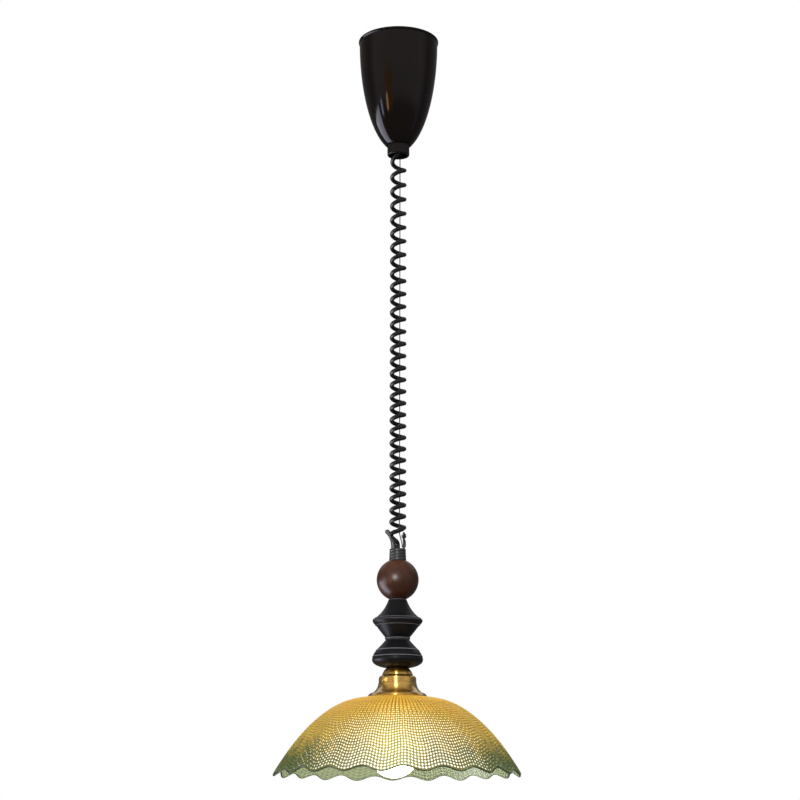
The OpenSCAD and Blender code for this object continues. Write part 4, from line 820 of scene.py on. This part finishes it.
def shadeSurface(u, a, depth, top):
    inner, outer = gallery["rimRadius"], shade["rimRadius"]
    power, drop = shade["power"], shade["drop"]
    above = -shade["seatDrop"] * np.minimum(1, -u * (outer - inner) / (inner - shade["seat"]))
    fall = np.where(u < 0, above, drop * np.maximum(u, 0) ** power)
    slope = np.where(u <= 0, 0.2, power * drop / (outer - inner) * np.maximum(u, 1e-9) ** (power - 1))
    tilt = np.arctan(slope)
    share = smooth((u - shade["ruffleStart"]) / (1 - shade["ruffleStart"]))
    push = shade["ruffleHeight"] * share * ruffle(a)
    out = push * shade["swell"] - depth
    radius = inner + (outer - inner) * u + out * np.sin(tilt)
    z = top - fall + out * np.cos(tilt) - push
    return np.stack([radius * np.cos(a), radius * np.sin(a), z], -1)


# Shares of the way down at equal distances along the glass
def evenShares(first, last, count, top):
    u = np.linspace(first, last, 2000)  # fine enough to measure along
    line = shadeSurface(u, np.zeros_like(u), 0, top)
    line[:, 1] = 0
    gone = distancesAlong(line)
    return np.interp(np.linspace(0, gone[-1], count), gone, u)


def addShade():
    top = levelsOf("gallery_bell")[0] - 0.5
    span = shade["rimRadius"] - gallery["rimRadius"]
    around = shade["threads"] * shade["sidesPerThread"]
    a = np.arange(around) * 2 * pi / around
    glass = shade["glass"]
    seatU, holeU = [(shade[name] - gallery["rimRadius"]) / span for name in ("seat", "hole")]
    rimU = 1 - shade["rimStart"] / shade["run"]
    u = evenShares(seatU, rimU, shade["rows"] * shade["ringsPerRow"] + 1, top)
    row = np.linspace(0, shade["rows"], len(u))
    thread = np.arange(around) / shade["sidesPerThread"]

    # the weave: pillows in a grid, every second one standing a little prouder
    drift = 0.18 * np.sin(5 * a + 0.6) + 0.1 * np.sin(17 * a)  # rows that wander, as pressed ones do
    rowAt = row[:, None] + drift[None, :]
    threadAt = thread[None, :] + 0.12 * np.sin(row[:, None] * 0.55)
    alongCell, acrossCell = np.sin(pi * (rowAt % 1)), np.sin(pi * (threadAt % 1))
    # near the gallery the threads run in pairs, and the rows are hardly there
    paired = smooth((0.66 - u) / 0.3)[:, None]
    acrossCell = acrossCell * (1 - paired) + np.abs(np.sin(pi * threadAt / 2)) * paired
    plain = smooth((0.34 - u) / 0.3)[:, None]
    alongCell = alongCell * (1 - plain) + plain
    parity = (np.floor(rowAt) + np.floor(threadAt)) % 2
    flat, full = 0.55, 0.8  # a pillow is flatter down the shade, and the next one round it
    pillow = alongCell ** np.where(parity < 1, flat, full) * acrossCell ** np.where(parity < 1, full, flat)
    pillow *= np.where(parity < 1, 1, shade["lowerPillow"])
    fade = smooth((u - 0.02) / 0.07)[:, None]  # the seat under the gallery is plain
    cell = pillow * fade + (1 - fade)

    rings = []

    # each row keeps its points, cell, drop and the painted glow: none near the gallery, full from a third
    # of the way down, none inside
    def addRows(shares, depth, cellRows, outside=True):
        shares = np.atleast_1d(shares)[:, None]
        rings.append([
            shadeSurface(shares, a[None, :], depth, top),
            np.broadcast_to(cellRows, (len(shares), around)),
            np.repeat(shares + (0 if outside else shade["innerOlive"]), around, 1),
            np.repeat(smooth(shares / 0.3) * outside, around, 1)])

    addRows(u, shade["relief"] * (1 - cell), cell)
    for step in np.radians([30, 60, 90, 120, 150]):  # the fire-rounded rim
        depth = glass / 2 * (1 - cos(step)) * 0.96 + 0.06
        addRows(rimU + sin(step) * shade["rimBulge"] / shade["run"], depth, 0.2, outside=False)
    inner = evenShares(rimU, seatU, shade["rows"] * 2 + 1, top)
    furrows = np.arange(len(inner))[:, None] % 2 * (0.72 + 0.28 * np.cos(pi * thread))
    relief = shade["innerRelief"] * furrows * smooth(inner * 3)[:, None]
    addRows(inner, glass - relief, 0.75 - 0.42 * furrows, outside=False)
    addRows(holeU, glass, 1, outside=False)
    addRows(holeU, 0, 1)

    points, cell, drop, paintedGlow = [np.concatenate(part) for part in zip(*rings)]
    rows, faces = len(points), []
    points = points.reshape(-1, 3)
    for i in range(rows):
        upper, lower = i * around, (i + 1) % rows * around
        faces += [(upper + k, lower + k, lower + (k + 1) % around, upper + (k + 1) % around)
                  for k in range(around)]

    values = {"drop": drop.ravel(), "cell": cell.ravel(), "paintedGlow": paintedGlow.ravel()}
    addPiece("ruffled_shade", [(points, faces)], "amber_glass", "lamp", "glass_shade", values, sharp=180)
    print("shade made:", len(points), "points")


addShade()

bulb = {
    "radius": 30, "wall": 1, "neckRadius": 12.2, "tangent": 38,
    "lean": -3.6,  # degrees: it sits askew in its holder
}


def addBulb():
    low, high = levelsOf("bulb_globe")
    centre = low + bulb["radius"]

    def outline(radius, neck, lift):
        shoulder = radius * cos(radians(bulb["tangent"]))
        rise = radius * sin(radians(bulb["tangent"]))
        return [(neck, high), *bend((neck, high - 4), (neck + 1.5, centre + 32 - lift),
                                    (shoulder, centre + rise), 22),
                *arc((0, centre), radius, bulb["tangent"] - 3, -90, 60)[:-1], (0, centre - radius)]

    outer = outline(bulb["radius"], bulb["neckRadius"], 0)
    inner = outline(bulb["radius"] - bulb["wall"], bulb["neckRadius"] - bulb["wall"], 0.5)[::-1]
    points, faces = lathe(outer + inner, 96, closed=True)
    slope = tan(radians(bulb["lean"]))
    leaning = [(x + slope * max(0, high - 8 - z), y, z) for x, y, z in points]
    addPiece("opal_globe", [(leaning, faces)], "opal_glass", "lamp", "bulb_globe")


addBulb()
print("bulb made")

# What the canopy and the stem hold: the cords there are drawn round, and the rest of the nodes
# keep their solids and get their finishes
inside = {"wrapRadius": 16, "turns": 7, "turnPitch": 1.7, "turnSteps": 60, "endY": 5.1, "strandSides": 14}


def addWoundWire():
    low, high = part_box("wire_drum")
    x, z = (low.x + high.x) / 2 / mm, (low.z + high.z) / 2 / mm
    steps, path = inside["turnSteps"], []
    for i in range(inside["turns"] * steps + 1):
        across, up = onCircle(inside["wrapRadius"], 2 * pi * i / steps, x)
        path.append([across, inside["endY"] - inside["turnPitch"] * i / steps, z + up])
    addStrands("wound_strand", path, inside["strandSides"], "reel_drum", "wound_wire")


# The wire's slanting run from the drum down to the nozzle
def addWireDrop():
    low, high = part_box("wire_drop")
    x, thick = (low.x + high.x) / 2 / mm, wire["diameter"]
    foot = np.array([x, 0, low.z / mm + 0.1])
    head = np.array([x, high.y / mm - thick / 2, high.z / mm - 0.1])
    path = [foot + (head - foot) * t for t in np.linspace(0, 1, 120)]
    addStrands("slanting_strand", path, inside["strandSides"], "ceiling_fixture", "wire_drop")


# The cord behind the nozzle goes up beside the reel frame, over it, and into the terminal block
def addLeadIn():
    low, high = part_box("lead_in")
    half = curl["diameter"] / 2
    wall, blockX, level = low.y / mm + half, high.x / mm, high.z / mm - half
    start = -curl["entryRadius"]
    frameLow, frameHigh = levelsOf("reel_frame")
    spigot = frameLow + 9
    points = [
        (0, start, low.z / mm), (0, start, spigot), (0, start, spigot + 2.5),
        (2.5, start - 1.8, spigot + 10.5), (8, wall + 2, spigot + 21.5),
        (blockX - 7.4, wall, spigot + 33.5), (blockX - 7.4, wall, frameHigh - 56),
        (blockX - 7.4, wall, frameHigh - 36), (blockX - 7.4, -10.5, frameHigh - 26),
        (blockX - 6.9, -5.5, frameHigh - 18.5), (blockX - 4.9, -1.2, frameHigh - 11),
        (blockX - 2.9, 0, level), (blockX, 0, level)]
    addSheath("lead_in_sheath", curveThrough(points, 8), "ceiling_fixture", "lead_in")


def addHolderLead():
    low, high = levelsOf("holder_lead")
    addSheath("stem_sheath", [(0, 0, z) for z in np.linspace(low, high, 40)], "lamp", "holder_lead")


for part in frame["record"]["subparts"]:
    for materialSlot in frame["nodes"][part["node"]].material_slots:
        materialSlot.material = finishes[part["material_slot"]]
print("frame nodes finished")


# A pale studio. The camera sees white, directly and through glass. Reflections see a room with
# windows and lamps in it, so that black gloss and brass keep their depth.
studio = {
    "ambient": 0.62, "floorZ": -2100, "floorReach": 6,  # reach in metres
    # how bright the room is ahead, ahead but lower than this many degrees, and behind
    "room": {"front": 0.75, "belowEyes": 0.25, "lower": -13, "behind": 0.16},
    "reflected": {
        # name: azimuth from the camera's side (minus to the left), elevation, half width and half
        # height, width of the soft edge, all in degrees, then colour and strength
        "leftWindow": (-100, -37, 19, 34, 2.5, "#e6e7fa", 9),
        "narrowPane": (-66, -8, 2.5, 5, 2.5, "#cfd9ff", 14),
        "woodDoor": (-31, -2, 11, 12, 9, "#a87a48", 2.6),
        "warmLamp": (-41.5, -8, 2.6, 5, 2.5, "#ffc890", 16),
        "rightPane": (84, -8, 5, 16, 4, "#8fa0d0", 1.2),
        "wallBehindLeft": (-145, 37, 35, 8, 4, "#ffffff", 0.8),
        "wallBehindRight": (145, 37, 35, 8, 4, "#ffffff", 0.8),
        "ceilingAbove": (0, 90, 200, 30, 16, "#fff6ea", 0.55),
    },
    "lamps": {
        # name: place, aim (m), width and height (m), power (W), what alone it lights and shows in
        "leftSoftBox": ((-1.3, -1.1, 1.3), (0, 0, -0.5), (1.3, 1.3), 11, None),
        "rightSoftBox": ((1.5, -0.8, 1.2), (0, 0, -0.6), (1.2, 1.2), 5, None),
        "galleryStrip": ((-0.36, -2, 0.35), (0, 0, -0.85), (0.17, 2.5), 40, "brass"),
        "frontStrip": ((-0.36, -2, -0.35), (0, 0, -0.8), (0.13, 1), 24, "turned"),
        "ballPane": ((-0.5, -1.94, -0.44), (0, 0, -0.72), (0.66, 0.56), 40, "ball"),
        "leftStrip": ((-1.74, -0.46, -0.9), (0, 0, -0.8), (0.4, 0.7), 4, "all"),
    },
    # the last four stand for lamps low in the room, which the canopy doesn't mirror
    "lit": {
        "brass": ["gallery_dome", "gallery_skirt"],
        "turned": ["ferrule_sleeve", "yoke_with_horn", "upper_turning", "lower_turning"],
        "ball": ["turned_ball"],
    },
}


# One bright patch of the reflected room, drawn over what is there already
def addPatch(add, room, directions, patch):
    azimuth, elevation, halfWidth, halfHeight, soft, colour, strength = patch
    shares = []
    for angle, centre, half in zip(directions, (azimuth, elevation), (halfWidth, halfHeight)):
        offset = add("Math", [angle, radians(centre)], operation="SUBTRACT")
        distance = add("Math", [offset], operation="ABSOLUTE")
        shares.append(add("MapRange", [
            distance, radians(half - soft / 2), radians(half + soft / 2), 1, 0], **eased))
    light = [channel * strength for channel in hexToLinear(colour)[:3]]
    return add("Mix", [add("Math", shares, operation="MULTIPLY"), room, light + [1]])


def addWorld():
    scene.world = bpy.data.worlds.new("paleStudio")
    add = adderFor(scene.world)
    direction = add("TexCoord", output="Generated")
    x, y, z = [add("SeparateXYZ", [direction], output=axis) for axis in "XYZ"]
    near = add("Math", [y, -1], operation="MULTIPLY")
    azimuth = add("Math", [x, near], operation="ARCTAN2")
    elevation = add("Math", [z], operation="ARCSINE")
    levels = studio["room"]
    front = add("MapRange", [
        elevation, radians(levels["lower"]), 0, levels["belowEyes"], levels["front"]], **eased)
    frontness = add("MapRange", [near, -0.15, 0.35], **eased)
    room = add("Mix", [frontness, [levels["behind"]] * 3 + [1], front])
    for patch in studio["reflected"].values():
        room = addPatch(add, room, (azimuth, elevation), patch)
    eye, glass, gloss = [add("LightPath", output=f"Is {kind} Ray")
                         for kind in ("Camera", "Transmission", "Glossy")]
    unseen = add("Mix", [gloss, [studio["ambient"]] * 3 + [1], room])
    seen = add("Math", [eye, glass], operation="MAXIMUM")
    colour = add("Mix", [seen, unseen, "#ffffff"])
    add("OutputWorld", [add("Background", [colour, 1])])


def addLamps():
    lit = {}
    for group, names in {**studio["lit"], "all": sum(studio["lit"].values(), [])}.items():
        lit[group] = bpy.data.collections.new("lit_" + group)
        for name in names:
            lit[group].objects.link(bpy.data.objects[name])
    for name, (place, aim, size, power, group) in studio["lamps"].items():
        data = bpy.data.lights.new(name, "AREA")
        data.shape = "RECTANGLE"
        data.size, data.size_y = size
        data.energy = power
        lamp = addObject(name, data)
        lamp.location = place
        lamp.rotation_mode = "QUATERNION"
        lamp.rotation_quaternion = (Vector(aim) - Vector(place)).to_track_quat("-Z", "Y")
        lamp.visible_glossy = group is not None
        if group:
            lamp.light_linking.receiver_collection = lit[group]


# The floor is white to the camera, and darker to the light that it throws back at the lamp
def rolledPaper(add):
    fibre = add("TexNoise", [add("TexCoord", output="Object"), perMm(3), 4])
    paper = add("Mix", [fibre, "#f0f0f0", "#f8f8f8"])
    seen = add("LightPath", output="Is Camera Ray")
    tint = add("Mix", [seen, "#5c5c5c", paper])
    lift = add("Mix", [seen, "#000000", "#ffffff"])
    return {"Base Color": tint, "Roughness": 0.9, "Emission Color": lift, "Emission Strength": 0.41}


def addFloor():
    reach, z = studio["floorReach"], studio["floorZ"] * mm
    mesh = bpy.data.meshes.new("studio_floor")
    mesh.from_pydata([(-reach, -reach, z), (reach, -reach, z), (reach, reach, z), (-reach, reach, z)],
                     [], [(0, 1, 2, 3)])
    mesh.materials.append(makeMaterial("rolledPaperFloor", rolledPaper))
    floor = addObject("studio_floor", mesh)
    floor.visible_glossy = False


addWoundWire()
addWireDrop()
addLeadIn()
addHolderLead()
print("cords inside made")
addWorld()
addLamps()
addFloor()
scene.view_settings.view_transform = "Standard"
print("studio made")
